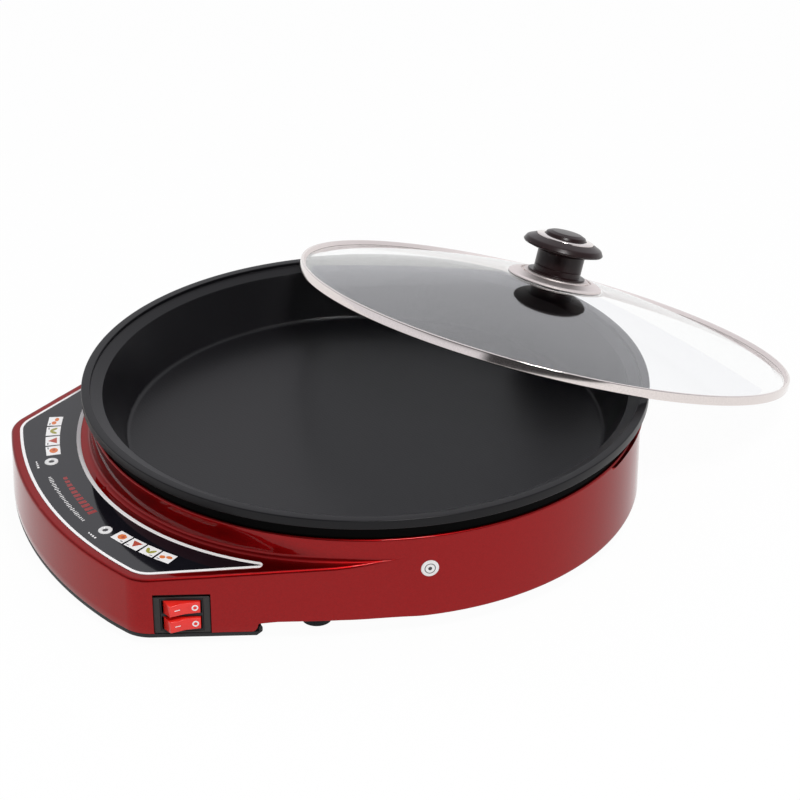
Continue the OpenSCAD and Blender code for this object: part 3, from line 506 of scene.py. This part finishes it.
def rounded(corners, steps=6):
    """A run of (r, z, radius) corners, with each radius turned to an arc."""
    made = []
    for i, (r, z, bend) in enumerate(corners):
        here = Vector((r, z))
        before = Vector(corners[i - 1][:2])
        after = Vector(corners[(i + 1) % len(corners)][:2])
        if bend <= 0:
            made.append((r, z))
            continue
        u = (before - here).normalized()
        v = (after - here).normalized()
        half = math.acos(max(-1.0, min(1.0, u.dot(v)))) / 2
        run = min(bend / math.tan(half), (before - here).length * 0.49, (after - here).length * 0.49)
        a = here + u * run
        b = here + v * run
        for k in range(steps + 1):
            t = k / steps
            p = (1 - t) ** 2 * a + 2 * (1 - t) * t * here + t * t * b
            made.append((p.x, p.y))
    return made


def turned(profile, steps=224, closed=True):
    """Points and faces of a profile turned about Z, with poles where it meets the axis."""
    around = [2 * math.pi * i / steps for i in range(steps)]
    points = []
    rings = []
    for r, z in profile:
        if r < 1e-6:
            rings.append([len(points)] * steps)
            points.append((0.0, 0.0, z))
        else:
            rings.append(list(range(len(points), len(points) + steps)))
            points += [(r * math.cos(t), r * math.sin(t), z) for t in around]
    faces = []
    pairs = list(zip(rings, rings[1:] + rings[:1])) if closed else list(zip(rings, rings[1:]))
    for a, b in pairs:
        for i in range(steps):
            j = (i + 1) % steps
            face = []
            for p in (a[i], a[j], b[j], b[i]):
                if p not in face:
                    face.append(p)
            if len(face) > 2:
                faces.append(tuple(face))
    return points, faces


def at_pan(points):
    """Moves points from the pan's axis to their place in the frame."""
    return [(x + pan_axis.x, y + pan_axis.y, z) for x, y, z in points]


# Partly painted shade: the ring is black phenolic, but its near-pure black tone and almost shine-free
# skin darken it to the shadow in the gap under the pan's rim.
phenolic = mottled("moulded_black_phenolic_with_painted_gap_shade", 4, "020202", "040404", 5.0, Roughness=0.6,
                   Specular_IOR_Level=0.05)[0]
seat_r = drum_r - 2.0
seat_in = drum_r - 6.3
seat_top = drum_top + 10.7
spigot_r = mouth_r - 0.1
spigot_low = drum_top - mouth_deep
profile = rounded([(seat_in, spigot_low, 0.3), (spigot_r, spigot_low, 0.0), (spigot_r, drum_top, 0.0),
                   (seat_r, drum_top, 0.5), (seat_r - 1.0, seat_top, 0.3), (seat_in, seat_top, 0.3)])
points, faces = turned(profile)
add_piece("pan_seat_ring_moulded", at_pan(points), faces, phenolic, "base",
          ("pan_seat_ring",))

# Pan. Die-cast aluminium, sprayed inside and out with a black non-stick
# coat, baked to a soft satin. The floor carries fine pressed dimples.
rim_r = 200.0
rim_z = 91.0
rim_low = seat_top
lip_in = rim_r - 6.1
ledge_z = rim_z - 2.5
floor_r = 169.8
floor_z = 51.5
floor_low = floor_z - 4.0


def maths(tree, operation, *values):
    """A calculation with sockets or plain values."""
    return put(tree, "ShaderNodeMath", dict(enumerate(values)), operation=operation).outputs[0]


nonstick, tree, shader, _ = mottled("black_nonstick_coat_on_cast_aluminium", 0.7, "0b0a0d", "131215",
                                    Roughness=0.32, Specular_IOR_Level=0.22)
place = put(tree, "ShaderNodeTexCoord").outputs["Object"]
dimple = put(tree, "ShaderNodeTexVoronoi", {"Vector": place, "Scale": per_mm(2.4), "Randomness": 0.0})
height = put(tree, "ShaderNodeSeparateXYZ", {0: place}).outputs["Z"]
on_floor = ramp(tree, height, (floor_z + 0.1) / 1000, (floor_z + 0.4) / 1000, 1.0, 0.0)
embossed(tree, shader, maths(tree, "MULTIPLY", dimple.outputs["Distance"], on_floor), 0.3, 0.2)
profile = rounded([(0.0, floor_z, 0.0), (floor_r, floor_z, 4.2), (rim_r - 14.6, ledge_z - 2.5, 1.0),
                   (lip_in - 0.1, ledge_z, 0.5), (lip_in, rim_z, 0.6), (rim_r, rim_z, 0.9),
                   (rim_r, rim_low, 0.6), (rim_r - 11.6, rim_low, 0.4), (floor_r + 1.4, floor_low, 9.0),
                   (0.0, floor_low, 0.0)])
points, faces = turned(profile, closed=False)
add_piece("pan_coated", at_pan(points), faces, nonstick, "base", ("pan",), 30)

# Printed film on the deck. Clear polyester, printed on its back in black
# with a white border, and glued down. It mirrors the room like dark glass.
film_ink = mottled("black_printed_polyester_film", 20, "100f14", "18171d", Roughness=0.06)[0]
white_ink = mottled("white_screen_ink", 0.5, "efedeb", "fbfaf9", Roughness=0.3)[0]
film_gap = 6.3
film_side = side_dist - film_gap
film_front = front_r - film_gap
film_inner = drum_r + 7.3
film_corner = corner_r - film_gap / 2
film_tip = 3.2
film_top = 0.5
border_out = 2.1
border_in = 2.9


def film_edge(outer, inner):
    """Outline of the film, drawn in by so much at both edges, with round tips."""
    bend = film_tip - max(outer, inner)
    reach = film_inner + inner + bend
    turn = -side_angle - math.acos((film_side - outer - bend) / reach)
    deg = math.degrees(turn)
    tip = (reach * math.cos(turn), reach * math.sin(turn))
    half = (front_half(film_front - outer, film_side - outer, film_corner - outer)
            + round_arc(tip, bend, -math.degrees(side_angle), deg + 180, 12)[1:]
            + round_arc((0.0, 0.0), film_inner + inner, deg, -90, 60)[1:])
    return half + [(-x, y) for x, y in reversed(half[1:-1])]


def on_deck(x, y, lift):
    """A point of the deck, lifted square to it."""
    lean = math.atan(deck_rise)
    return (x + pan_axis.x, y - lift * math.sin(lean) + pan_axis.y,
            deck_at(y) + lift * math.cos(lean))


loops = [(0.0, 0.0, 0.02), (0.0, 0.0, film_top - 0.1), (0.12, 0.12, film_top),
         (border_out, border_in, film_top)]
outlines = [film_edge(outer, inner) for outer, inner, _ in loops]
size = len(outlines[0])
points = [on_deck(x, y, lift) for outline, (_, _, lift) in zip(outlines, loops) for x, y in outline]
faces = []
kinds = []
for k in range(len(loops) - 1):
    for i in range(size):
        j = (i + 1) % size
        faces.append((k * size + i, k * size + j, (k + 1) * size + j, (k + 1) * size + i))
        kinds.append(1)
faces.append(tuple(range(3 * size, 4 * size)))
kinds.append(0)
faces.append(tuple(reversed(range(size))))
kinds.append(0)
add_piece("panel_film_printed", points, faces, film_ink, "base", ("panel_film",), 30,
          (white_ink,), kinds)

# Picture tiles printed on the film, four in a row at each end. White tiles
# carry a plain disc, wedge, pair of leaves or pair of ovals in food colours.
print_t = 0.05


def printed(name, outlines, material, lift):
    """Flat outlines on the deck, as a print of real thickness."""
    points = []
    faces = []
    for outline in outlines:
        n = len(outline)
        low = len(points)
        points += [on_deck(x, y, lift - 0.02) for x, y in outline]
        points += [on_deck(x, y, lift + print_t) for x, y in outline]
        faces.append(tuple(low + n + i for i in range(n)))
        faces.append(tuple(low + n - 1 - i for i in range(n)))
        faces += [(low + i, low + (i + 1) % n, low + n + (i + 1) % n, low + n + i) for i in range(n)]
    add_piece(name, points, faces, material, "base")


tile_w = 12.2
tile_h = 10.0
tile_r = 222.0
tile_pitch = 3.55
tile_first = -72.9


def on_tile(way, index, u, v):
    """A place on a tile, by which end it is at, its number and its own width and height."""
    turn = math.radians(tile_first + tile_pitch * index)
    x = (tile_r + v) * math.cos(turn) - u * math.sin(turn)
    y = (tile_r + v) * math.sin(turn) + u * math.cos(turn)
    return (way * x, y)


def blob(u, v, wide, tall, lean=0.0, steps=28):
    """An oval on a tile."""
    c, s = math.cos(math.radians(lean)), math.sin(math.radians(lean))
    turns = [2 * math.pi * i / steps for i in range(steps)]
    return [(u + wide * math.cos(t) * c - tall * math.sin(t) * s,
             v + wide * math.cos(t) * s + tall * math.sin(t) * c) for t in turns]


tile_face = [(-tile_w / 2, -tile_h / 2), (tile_w / 2, -tile_h / 2), (tile_w / 2, tile_h / 2),
             (-tile_w / 2, tile_h / 2)]
wedge = [(-4.0, -3.0), (4.0, -3.0), (0.2, 3.2)]
motifs = {
    "orange": ("d4652a", "e98a4a", [(0, blob(0.0, -0.4, 3.4, 3.0)), (3, blob(-2.4, 0.6, 2.2, 1.7)),
                                    (3, blob(2.2, -1.0, 2.4, 1.5))]),
    "brick": ("a8392a", "c65a45", [(1, wedge), (0, blob(0.6, -0.6, 1.3, 1.1))]),
    "olive": ("8b8a2e", "b3ae52", [(2, blob(-2.0, -0.2, 3.0, 1.3, 52)),
                                   (2, blob(2.0, -0.2, 3.0, 1.3, -52))]),
    "slate": ("3a3a40", "55555c", [(i, [(u, 3.0), (u + 2.4, 3.0), (u + 2.4, 3.7), (u, 3.7)])
                                   for i, u in ((0, 2.6), (1, -5.0), (2, 2.6), (3, -5.0))]),
}


def on_both_ends(shapes):
    """Outlines of shapes, each given with its tile's number, on the tiles of both ends."""
    return [[on_tile(way, i, u, v) for u, v in shape] for way in (-1, 1) for i, shape in shapes]


printed("picture_tiles_printed", on_both_ends([(i, tile_face) for i in range(4)]), white_ink, film_top)
for level, (name, (dark, light, shapes)) in enumerate(motifs.items()):
    food_ink = mottled(name + "_screen_ink", 1.6, dark, light, 3.0, Roughness=0.35)[0]
    printed("motifs_printed_" + name, on_both_ends(shapes), food_ink,
            film_top + print_t * (1 + 0.2 * level))

# Scales printed on the film: red bars that grow with the heat, a row of white
# ticks in front of them, and four small ticks before each lamp.


def add_row(name, material, count, arc, pitch, wide, tall, least, uneven, centre=0.0):
    """A row of printed bars along an arc about the front edge's middle, by Geometry Nodes."""
    tree = bpy.data.node_groups.new(name + "_rule", "GeometryNodeTree")
    values = {"Count": count, "Arc": arc / 1000, "Pitch": pitch / 1000, "Width": wide / 1000,
              "Height": tall / 1000, "Least": least, "Uneven": uneven, "Middle": centre / arc,
              "Thickness": print_t * 0.001}
    sockets = {}
    for label, value in values.items():
        kind = "NodeSocketInt" if label == "Count" else "NodeSocketFloat"
        sockets[label] = tree.interface.new_socket(name=label, in_out="INPUT", socket_type=kind)
    tree.interface.new_socket(name="Geometry", in_out="OUTPUT", socket_type="NodeSocketGeometry")
    given = put(tree, "NodeGroupInput").outputs
    index = put(tree, "GeometryNodeInputIndex").outputs[0]
    last = maths(tree, "SUBTRACT", given["Count"], 1.0)
    share = maths(tree, "DIVIDE", index, last)
    place = maths(tree, "SUBTRACT", index, maths(tree, "MULTIPLY", last, 0.5))
    step = maths(tree, "DIVIDE", given["Pitch"], given["Arc"])
    turn = maths(tree, "MULTIPLY_ADD", place, step, given["Middle"])
    x = maths(tree, "MULTIPLY", given["Arc"], maths(tree, "SINE", turn))
    drop = maths(tree, "MULTIPLY", given["Arc"], maths(tree, "COSINE", turn))
    y = maths(tree, "SUBTRACT", front_r / 1000, drop)
    spot = put(tree, "ShaderNodeCombineXYZ", {"X": x, "Y": y}).outputs[0]
    way = put(tree, "ShaderNodeCombineXYZ", {"Z": turn}).outputs[0]
    grown = ramp(tree, share, 0.0, 1.0, given["Least"], 1.0)
    chance = put(tree, "FunctionNodeRandomValue", {"Seed": 7}, data_type="FLOAT").outputs[1]
    tall_share = maths(tree, "SUBTRACT", grown, maths(tree, "MULTIPLY", chance, given["Uneven"]))
    sizes = put(tree, "ShaderNodeCombineXYZ", {"X": 1.0, "Y": tall_share, "Z": 1.0}).outputs[0]
    bar_size = put(tree, "ShaderNodeCombineXYZ", {"X": given["Width"], "Y": given["Height"],
                                                  "Z": given["Thickness"]}).outputs[0]
    bar = put(tree, "GeometryNodeMeshCube", {"Size": bar_size}).outputs[0]
    line = put(tree, "GeometryNodeMeshLine", {"Count": given["Count"]}).outputs[0]
    row = put(tree, "GeometryNodeSetPosition", {"Geometry": line, "Position": spot}).outputs[0]
    bars = put(tree, "GeometryNodeInstanceOnPoints", {"Points": row, "Instance": bar, "Rotation": way,
                                                      "Scale": sizes}).outputs[0]
    laid = put(tree, "GeometryNodeTransform", {
        "Geometry": bars, "Rotation": (math.atan(deck_rise), 0.0, 0.0),
        "Translation": [c / 1000 for c in on_deck(0.0, -nose, film_top)]}).outputs[0]
    real = put(tree, "GeometryNodeRealizeInstances", {"Geometry": laid}).outputs[0]
    done = put(tree, "GeometryNodeSetMaterial", {"Geometry": real, "Material": material}).outputs[0]
    put(tree, "NodeGroupOutput", {"Geometry": done})
    made = bpy.data.objects.new(name, bpy.data.meshes.new(name))
    bpy.context.scene.collection.objects.link(made)
    rule = made.modifiers.new("row", "NODES")
    rule.node_group = tree
    for label, value in values.items():
        rule[sockets[label].identifier] = value
    settled(made)
    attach(made, "base")


red_ink = mottled("dark_red_screen_ink", 0.8, "7e1a1c", "a8282a", Roughness=0.35)[0]
lamp_x = 51.5
lamp_y = -218.5
add_row("heat_bars_printed", red_ink, 11, 291.0, 5.1, 3.4, 6.4, 0.45, 0.0)
add_row("scale_ticks_printed", white_ink, 31, 300.5, 2.15, 0.8, 3.2, 0.95, 0.5)
for side_name, way in (("left", -1), ("right", 1)):
    add_row("lamp_ticks_printed_" + side_name, white_ink, 4, 305.0, 2.6, 1.5, 1.6, 0.9, 0.4,
            way * (lamp_x + 1.5))

# Lamp lenses. Pressed through the deck from below: a white acrylic collar
# round a dark smoked eye, polished.
collar_white = mottled("polished_white_acrylic", 3, "dedddc", "eeedec", Roughness=0.15)[0]
smoked = mottled("smoked_acrylic", 2, "2a2729", "3d393b", Roughness=0.1)[0]
eye_r = 1.9
collar_r = 4.8
shank_r = 3.8
shank_low = -4.5
profile = rounded([(0.0, 0.62, 0.0), (eye_r, 0.6, 0.0), (eye_r + 0.6, 1.25, 0.4),
                   (collar_r - 0.9, 1.2, 0.7), (collar_r, 0.75, 0.3), (collar_r, 0.0, 0.0),
                   (shank_r, 0.0, 0.0), (shank_r, shank_low, 0.2), (0.0, shank_low, 0.0)])
dome, dome_faces = turned(profile, 48, closed=False)
points = []
faces = []
kinds = []
for way in (-1, 1):
    low = len(points)
    points += [on_deck(way * lamp_x + x, lamp_y + y, z) for x, y, z in dome]
    for f in dome_faces:
        faces.append(tuple(low + p for p in f))
        reach = max(math.hypot(dome[p][0], dome[p][1]) for p in f)
        kinds.append(1 if reach < eye_r + 0.05 and dome[f[0]][2] > 0 else 0)
add_piece("indicator_lenses_pressed", points, faces, collar_white, "base",
          ("indicator_lenses",), more=(smoked,), kinds=kinds)

# Switch plate in the notch of the right side wall. Moulded dark grey ABS with
# a fine grain, that frames both switch housings.
plate_abs = mottled("moulded_dark_grey_abs", 0.35, "242221", "33302f", 3.0, Roughness=0.45,
                    Specular_IOR_Level=0.35)[0]
softened("switch_plate", 0.5, plate_abs, "base")

# Rockers. Glossy red ABS, each moulded with the pin that it tips on, and with
# its marks printed white.
rocker_red = mottled("glossy_red_abs", 8, "e8201a", "f8352b", Roughness=0.2)[0]
softened("rocker_upper", 0.5, rocker_red, "rocker_upper")
softened("rocker_lower", 0.5, rocker_red, "rocker_lower")
pivot_deep = 5.5
rocker_face = 7.6
rocker_lean = math.radians(15)
valley = 1.3
crest = 10.1
face_lean = math.atan(valley / crest)
dash_l = 3.8
dash_w = 0.55
dash_at = 5.2
circle_at = 6.6
circle_r = (1.25, 2.2)
circle_steps = 28


def on_rocker(way, along, up, lift, z):
    """A point on a rocker's face: along the face from its valley, up, and off the face."""
    out = rocker_face + along * math.sin(face_lean) + lift * math.cos(face_lean)
    run = way * (along * math.cos(face_lean) - lift * math.sin(face_lean))
    c, s = math.cos(rocker_lean), math.sin(rocker_lean)
    x, y = beside(side_dist - pivot_deep + out * c - run * s, -switch_at + out * s + run * c)
    return (x + pan_axis.x, y + pan_axis.y, z + up)


for body in ("rocker_upper", "rocker_lower"):
    rocker_low, rocker_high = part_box(body)
    z = (rocker_low[2] + rocker_high[2]) * 500
    ends = (dash_at - dash_l / 2, dash_at + dash_l / 2)
    cells = [(-1, [(ends[0], -dash_w / 2), (ends[1], -dash_w / 2), (ends[1], dash_w / 2),
                   (ends[0], dash_w / 2)])]
    for i in range(circle_steps):
        a = 2 * math.pi * i / circle_steps
        b = 2 * math.pi * (i + 1) / circle_steps
        cells.append((1, [(circle_at + circle_r[k] * math.cos(t), circle_r[k] * math.sin(t))
                          for k, t in ((0, a), (1, a), (1, b), (0, b))]))
    points = []
    faces = []
    for way, outline in cells:
        low = len(points)
        points += [on_rocker(way, s, u, -0.02, z) for s, u in outline]
        points += [on_rocker(way, s, u, 0.06, z) for s, u in outline]
        faces.append((low + 4, low + 5, low + 6, low + 7))
        faces.append((low + 3, low + 2, low + 1, low))
        faces += [(low + i, low + (i + 1) % 4, low + 4 + (i + 1) % 4, low + 4 + i) for i in range(4)]
    add_piece(body + "_marks", points, faces, white_ink, body)

# Badge on the drum's wall: a plain printed disc of white acrylic, glued on.
badge_white = mottled("white_acrylic_badge", 5, "e6e4e2", "f4f3f1", Roughness=0.2)[0]
grey_ink = mottled("dark_grey_screen_ink", 0.5, "2b292a", "3c3a3b", Roughness=0.4)[0]
badge_turn = math.radians(-13.9)
badge_z = 49.5
badge_r = 6.0
badge_t = 0.62
ring_in = 3.2
ring_out = 3.75
dot_r = 1.3
profile = [(0.0, badge_t), (dot_r, badge_t), (ring_in, badge_t), (ring_out, badge_t),
           (badge_r - 0.4, badge_t - 0.02), (badge_r, 0.35), (badge_r, 0.02), (0.0, 0.02)]
disc, faces = turned(profile, 56, closed=False)
kinds = []
for f in faces:
    reach = max(math.hypot(disc[p][0], disc[p][1]) for p in f)
    height = max(disc[p][2] for p in f)
    inked = reach < dot_r + 0.02 or ring_in + 0.02 < reach < ring_out + 0.02
    kinds.append(int(height > 0.5 and inked))
points = []
for x, y, z in disc:
    out = drum_r + z - (x * x) / (2 * drum_r)
    points.append((out * math.cos(badge_turn) - x * math.sin(badge_turn) + pan_axis.x,
                   out * math.sin(badge_turn) + x * math.cos(badge_turn) + pan_axis.y, badge_z + y))
add_piece("badge_printed", points, faces, badge_white, "base", ("badge",), 30,
          (grey_ink,), kinds)

# Lid glass. Clear tempered soda-lime glass, sagged to a shallow dome, with
# a hole in the middle for the knob's screw.
lid_tilt = math.radians(19.65)
lid_way = math.radians(108.85)
lid_r = 190.0
band_h = 7.0
lid_turn = Matrix.Rotation(lid_way, 4, "Z") @ Matrix.Rotation(lid_tilt, 4, "Y")
band_low, band_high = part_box("lid_band")
band_mid = (Vector(band_low) + Vector(band_high)) * 500
lid_place = Matrix.Translation(band_mid - lid_turn @ Vector((0.0, 0.0, band_h / 2))) @ lid_turn
glass_low = 3.0
glass_t = 1.2
glass_crown_t = 3.0
glass_top = glass_low + glass_t
dome_r = lid_r - 7.0
dome_h = 31.8
dome_power = 1.45
crown_full = 18.0
crown_out = 33.0


def at_lid(points):
    """Moves points from the lid's own axis to their place in the frame."""
    return [tuple(lid_place @ Vector(p)) for p in points]


def dome_rise(r):
    """Rise of the glass above its flat rim."""
    return dome_h * (1 - (min(r, dome_r) / dome_r) ** dome_power)


def glass_under(r):
    """Height of the glass's underside, which thickens to a seat for the screw."""
    full = min(max((crown_out - r) / (crown_out - crown_full), 0.0), 1.0)
    return glass_low + dome_rise(r) - (glass_crown_t - glass_t) * full


clear_glass = mottled("clear_tempered_glass", 120, "fcfefe", "ffffff", Roughness=0.0,
                      Transmission_Weight=1.0, IOR=1.68)[0]
hole_r = 3.5
radii = [hole_r + (dome_r - hole_r) * i / 40 for i in range(41)]
glass_r = lid_r - 1.3
profile = ([(r, glass_top + dome_rise(r)) for r in radii]
           + [(glass_r - 3.0, glass_top), (glass_r - 0.4, glass_top), (glass_r, glass_top - 0.4),
              (glass_r, glass_low + 0.4), (glass_r - 0.4, glass_low), (glass_r - 3.0, glass_low)]
           + [(r, glass_under(r)) for r in reversed(radii)])
points, faces = turned(profile, 256)
add_piece("lid_glass_sagged", at_lid(points), faces, clear_glass, "lid",
          ("lid_glass",), 50)

# Lid band. Stainless strip, rolled round the glass's edge and polished along
# its outside to a mirror; its inside keeps the satin of the rolled sheet.
stainless = mottled("polished_stainless_strip", 1.2, "d6cdca", "ebe3e0", 4.0, Metallic=1.0,
                    Roughness=0.1)[0]
satin_steel = mottled("satin_rolled_stainless", 0.5, "e6dcd9", "f6eeeb", 3.0, Metallic=1.0,
                      Roughness=0.5)[0]
lip = lid_r - 4.0
sheet_in = lid_r - 1.0
bead_in = lid_r - 1.8
profile = rounded([(lip, 0.0, 0.3), (lid_r, 0.0, 0.8), (lid_r, band_h, 1.2), (bead_in, band_h, 0.5),
                   (lip, glass_top + 0.1, 0.0), (sheet_in, glass_top + 0.1, 0.0),
                   (sheet_in, glass_low - 0.1, 0.0), (lip, glass_low - 0.1, 0.0)])
points, faces = turned(profile, 256)
kinds = [int(max(math.hypot(*points[p][:2]) for p in f) < bead_in + 0.01) for f in faces]
add_piece("lid_band_rolled", at_lid(points), faces, stainless, "lid",
          ("lid_band",), 40, (satin_steel,), kinds)

# Steel ring under the knob. Spun from the same satin sheet, which scatters what
# it mirrors, with a turned groove.
crown = glass_top + dome_h + 0.1
ring_r = 36.0
edge = crown - dome_h + dome_rise(ring_r) + 0.25
foot_z = crown + 2.0
foot_r = 22.0
groove_z = crown + 0.3
profile = rounded([(hole_r, crown, 0.0), (hole_r + 2.0, crown, 0.0), (ring_r, edge, 0.2),
                   (ring_r, edge + 1.0, 0.4), (ring_r - 1.6, edge + 2.1, 0.8),
                   (foot_r + 5.2, crown + 1.4, 0.3), (foot_r + 4.9, groove_z, 0.1),
                   (foot_r + 3.2, groove_z, 0.1), (foot_r + 2.9, crown + 1.9, 0.3),
                   (foot_r, foot_z, 0.0), (hole_r, foot_z, 0.0)])
points, faces = turned(profile, 128)
add_piece("knob_escutcheon_spun", at_lid(points), faces, satin_steel, "lid",
          ("knob_escutcheon",), 30)

# Knob stem. Brown-black phenolic, moulded to a satin gloss, with a fine groove
# round it. The screw through the glass holds it.
knob_black = mottled("moulded_brown_black_phenolic", 3, "1c1011", "2b1b1c", 5.0, Roughness=0.3,
                     Specular_IOR_Level=0.28)[0]
stem_r = 18.0
stem_bore = 2.6
stem_groove = foot_z + 5.8
cap_z = foot_z + 17.0
profile = rounded([(stem_bore, foot_z, 0.0), (foot_r, foot_z, 0.3), (foot_r, foot_z + 1.4, 0.6),
                   (stem_r, foot_z + 1.5, 0.4), (stem_r, stem_groove - 0.3, 0.2),
                   (stem_r - 0.45, stem_groove, 0.0), (stem_r, stem_groove + 0.3, 0.2),
                   (stem_r, cap_z, 0.0), (stem_bore, cap_z, 0.0)])
points, faces = turned(profile, 128)
add_piece("knob_stem_moulded", at_lid(points), faces, knob_black, "lid",
          ("knob_stem",), 40)

# Knob cap. The same phenolic, on top of the stem, with a seat for the ring.
cap_r = 30.7
cap_h = 12.0
cap_top = cap_z + cap_h
inlay_r = 22.0
inlay_w = 5.8
inlay_in = inlay_r - inlay_w
seat = cap_z + 0.6 * cap_h
profile = rounded([(0.0, cap_z, 0.0), (stem_r, cap_z, 0.3), (cap_r - 0.9, cap_z + 3.6, 0.5),
                   (cap_r, cap_z + 4.8, 0.6), (cap_r - 1.9, cap_z + 8.1, 2.5),
                   (inlay_r + 0.1, cap_top - 0.9, 0.3), (inlay_r, seat, 0.0), (inlay_in, seat, 0.0),
                   (inlay_in, cap_top - 0.2, 0.3), (0.0, cap_top, 0.0)])
points, faces = turned(profile, 128, closed=False)
add_piece("knob_cap_moulded", at_lid(points), faces, knob_black, "lid",
          ("knob_cap",), 40)

# Knob ring. Polished stainless, turned, and let into the cap round its middle.
ease = 0.1
profile = rounded([(inlay_in + ease, seat + ease, 0.0), (inlay_r - ease, seat + ease, 0.0),
                   (inlay_r - ease, cap_top - 0.36, 0.4), (inlay_in + ease, cap_top + 0.48, 0.4)])
points, faces = turned(profile, 128)
add_piece("knob_ring_turned", at_lid(points), faces, stainless, "lid",
          ("knob_ring",), 30)

# Knob centre. The same phenolic as the cap, a low button inside the ring.
button_r = inlay_r - 6.2
profile = rounded([(0.0, cap_top + 4.4, 0.0), (11.5, cap_top + 3.9, 3.0),
                   (button_r - 0.8, cap_top + 2.4, 1.5), (button_r, cap_top + 0.5, 0.6),
                   (button_r, cap_top, 0.0), (0.0, cap_top, 0.0)])
points, faces = turned(profile, 128, closed=False)
add_piece("knob_button_moulded", at_lid(points), faces, knob_black, "lid",
          ("knob_button",), 40)

# Studio: a plain pale floor that the lens, metal and glass see as near white
# and that still takes the object's shadow.
far = 6.0
corners = [(-far, -far, 0.0), (far, -far, 0.0), (far, far, 0.0), (-far, far, 0.0)]
floor_mesh = bpy.data.meshes.new("floor")
floor_mesh.from_pydata(corners, [], [(0, 1, 2, 3)])
floor = bpy.data.objects.new("floor", floor_mesh)
bpy.context.scene.collection.objects.link(floor)
pale = bpy.data.materials.new("pale_floor")
pale.use_nodes = True
tree = pale.node_tree
tree.nodes.remove(tree.nodes["Principled BSDF"])
floor_glow = 0.965
seen = put(tree, "ShaderNodeLightPath").outputs
direct = maths(tree, "MAXIMUM", seen["Is Camera Ray"], seen["Is Glossy Ray"])
lift = maths(tree, "MULTIPLY", maths(tree, "MAXIMUM", direct, seen["Is Transmission Ray"]), floor_glow)
matt = put(tree, "ShaderNodeBsdfDiffuse", {"Color": (0.86, 0.86, 0.86, 1.0)})
glow = put(tree, "ShaderNodeEmission", {"Color": (1.0, 1.0, 1.0, 1.0), "Strength": 1.0})
both = put(tree, "ShaderNodeMixShader", {0: lift, 1: matt.outputs[0], 2: glow.outputs[0]})
tree.links.new(both.outputs[0], tree.nodes["Material Output"].inputs["Surface"])
floor_mesh.materials.append(pale)
floor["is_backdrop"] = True

# Studio light: a surround that is bright above and behind, a pale wall low
# down all round but for the dark side the camera stands on, and one soft lamp.
# The lens itself sees the surround as white.
world = bpy.data.worlds.new("studio")
bpy.context.scene.world = world
world.use_nodes = True
tree = world.node_tree
sky = tree.nodes["Background"]
sky.inputs["Color"].default_value = (0.96, 0.96, 1.0, 1.0)
view = put(tree, "ShaderNodeTexCoord").outputs["Generated"]


def towards(way):
    """How far a direction of the surround leans towards another one."""
    return put(tree, "ShaderNodeVectorMath", {0: view, 1: way}, operation="DOT_PRODUCT").outputs["Value"]


level = ramp(tree, towards((-0.5, 0.42, 0.757)), 0.05, 0.85, 0.06, 0.95)
height = put(tree, "ShaderNodeSeparateXYZ", {0: view}).outputs["Z"]
wall = ramp(tree, height, 0.16, 0.26, 0.9, 0.0)
gap = ramp(tree, towards((0.87, -0.5, 0.0)), 0.87, 0.91, 1.0, 0.0)
both = maths(tree, "MAXIMUM", level, maths(tree, "MULTIPLY", wall, gap))
seen = put(tree, "ShaderNodeLightPath").outputs
shown = maths(tree, "MAXIMUM", both, seen["Is Camera Ray"])
tree.links.new(shown, sky.inputs["Strength"])
lamp_spot = Vector((1.2, -0.15, 1.9))
lamp_aim = Vector((0.0, -0.05, 0.05))
lamp = bpy.data.lights.new("key", "AREA")
lamp.shape = "DISK"
lamp.size = 0.6
lamp.energy = 29.0
holder = bpy.data.objects.new("key", lamp)
bpy.context.scene.collection.objects.link(holder)
holder.location = lamp_spot
holder.rotation_mode = "QUATERNION"
holder.rotation_quaternion = (lamp_aim - lamp_spot).to_track_quat("-Z", "Y")

# Camera at the photograph's place and angle, measured from the pan's axis.
lens = bpy.data.cameras.new("camera")
lens.lens = 117.0
lens.sensor_width = 36.0
lens.clip_end = 50.0
eye = bpy.data.objects.new("camera", lens)
bpy.context.scene.collection.objects.link(eye)
eye.location = pan_axis / 1000 + Vector((1.4602, -0.7138, 0.9483))
eye.rotation_mode = "QUATERNION"
eye.rotation_quaternion = Vector((-0.7847, 0.3983, -0.475)).to_track_quat("-Z", "Y")
bpy.context.scene.camera = eye
bpy.context.scene.view_settings.view_transform = "Standard"

low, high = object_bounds()
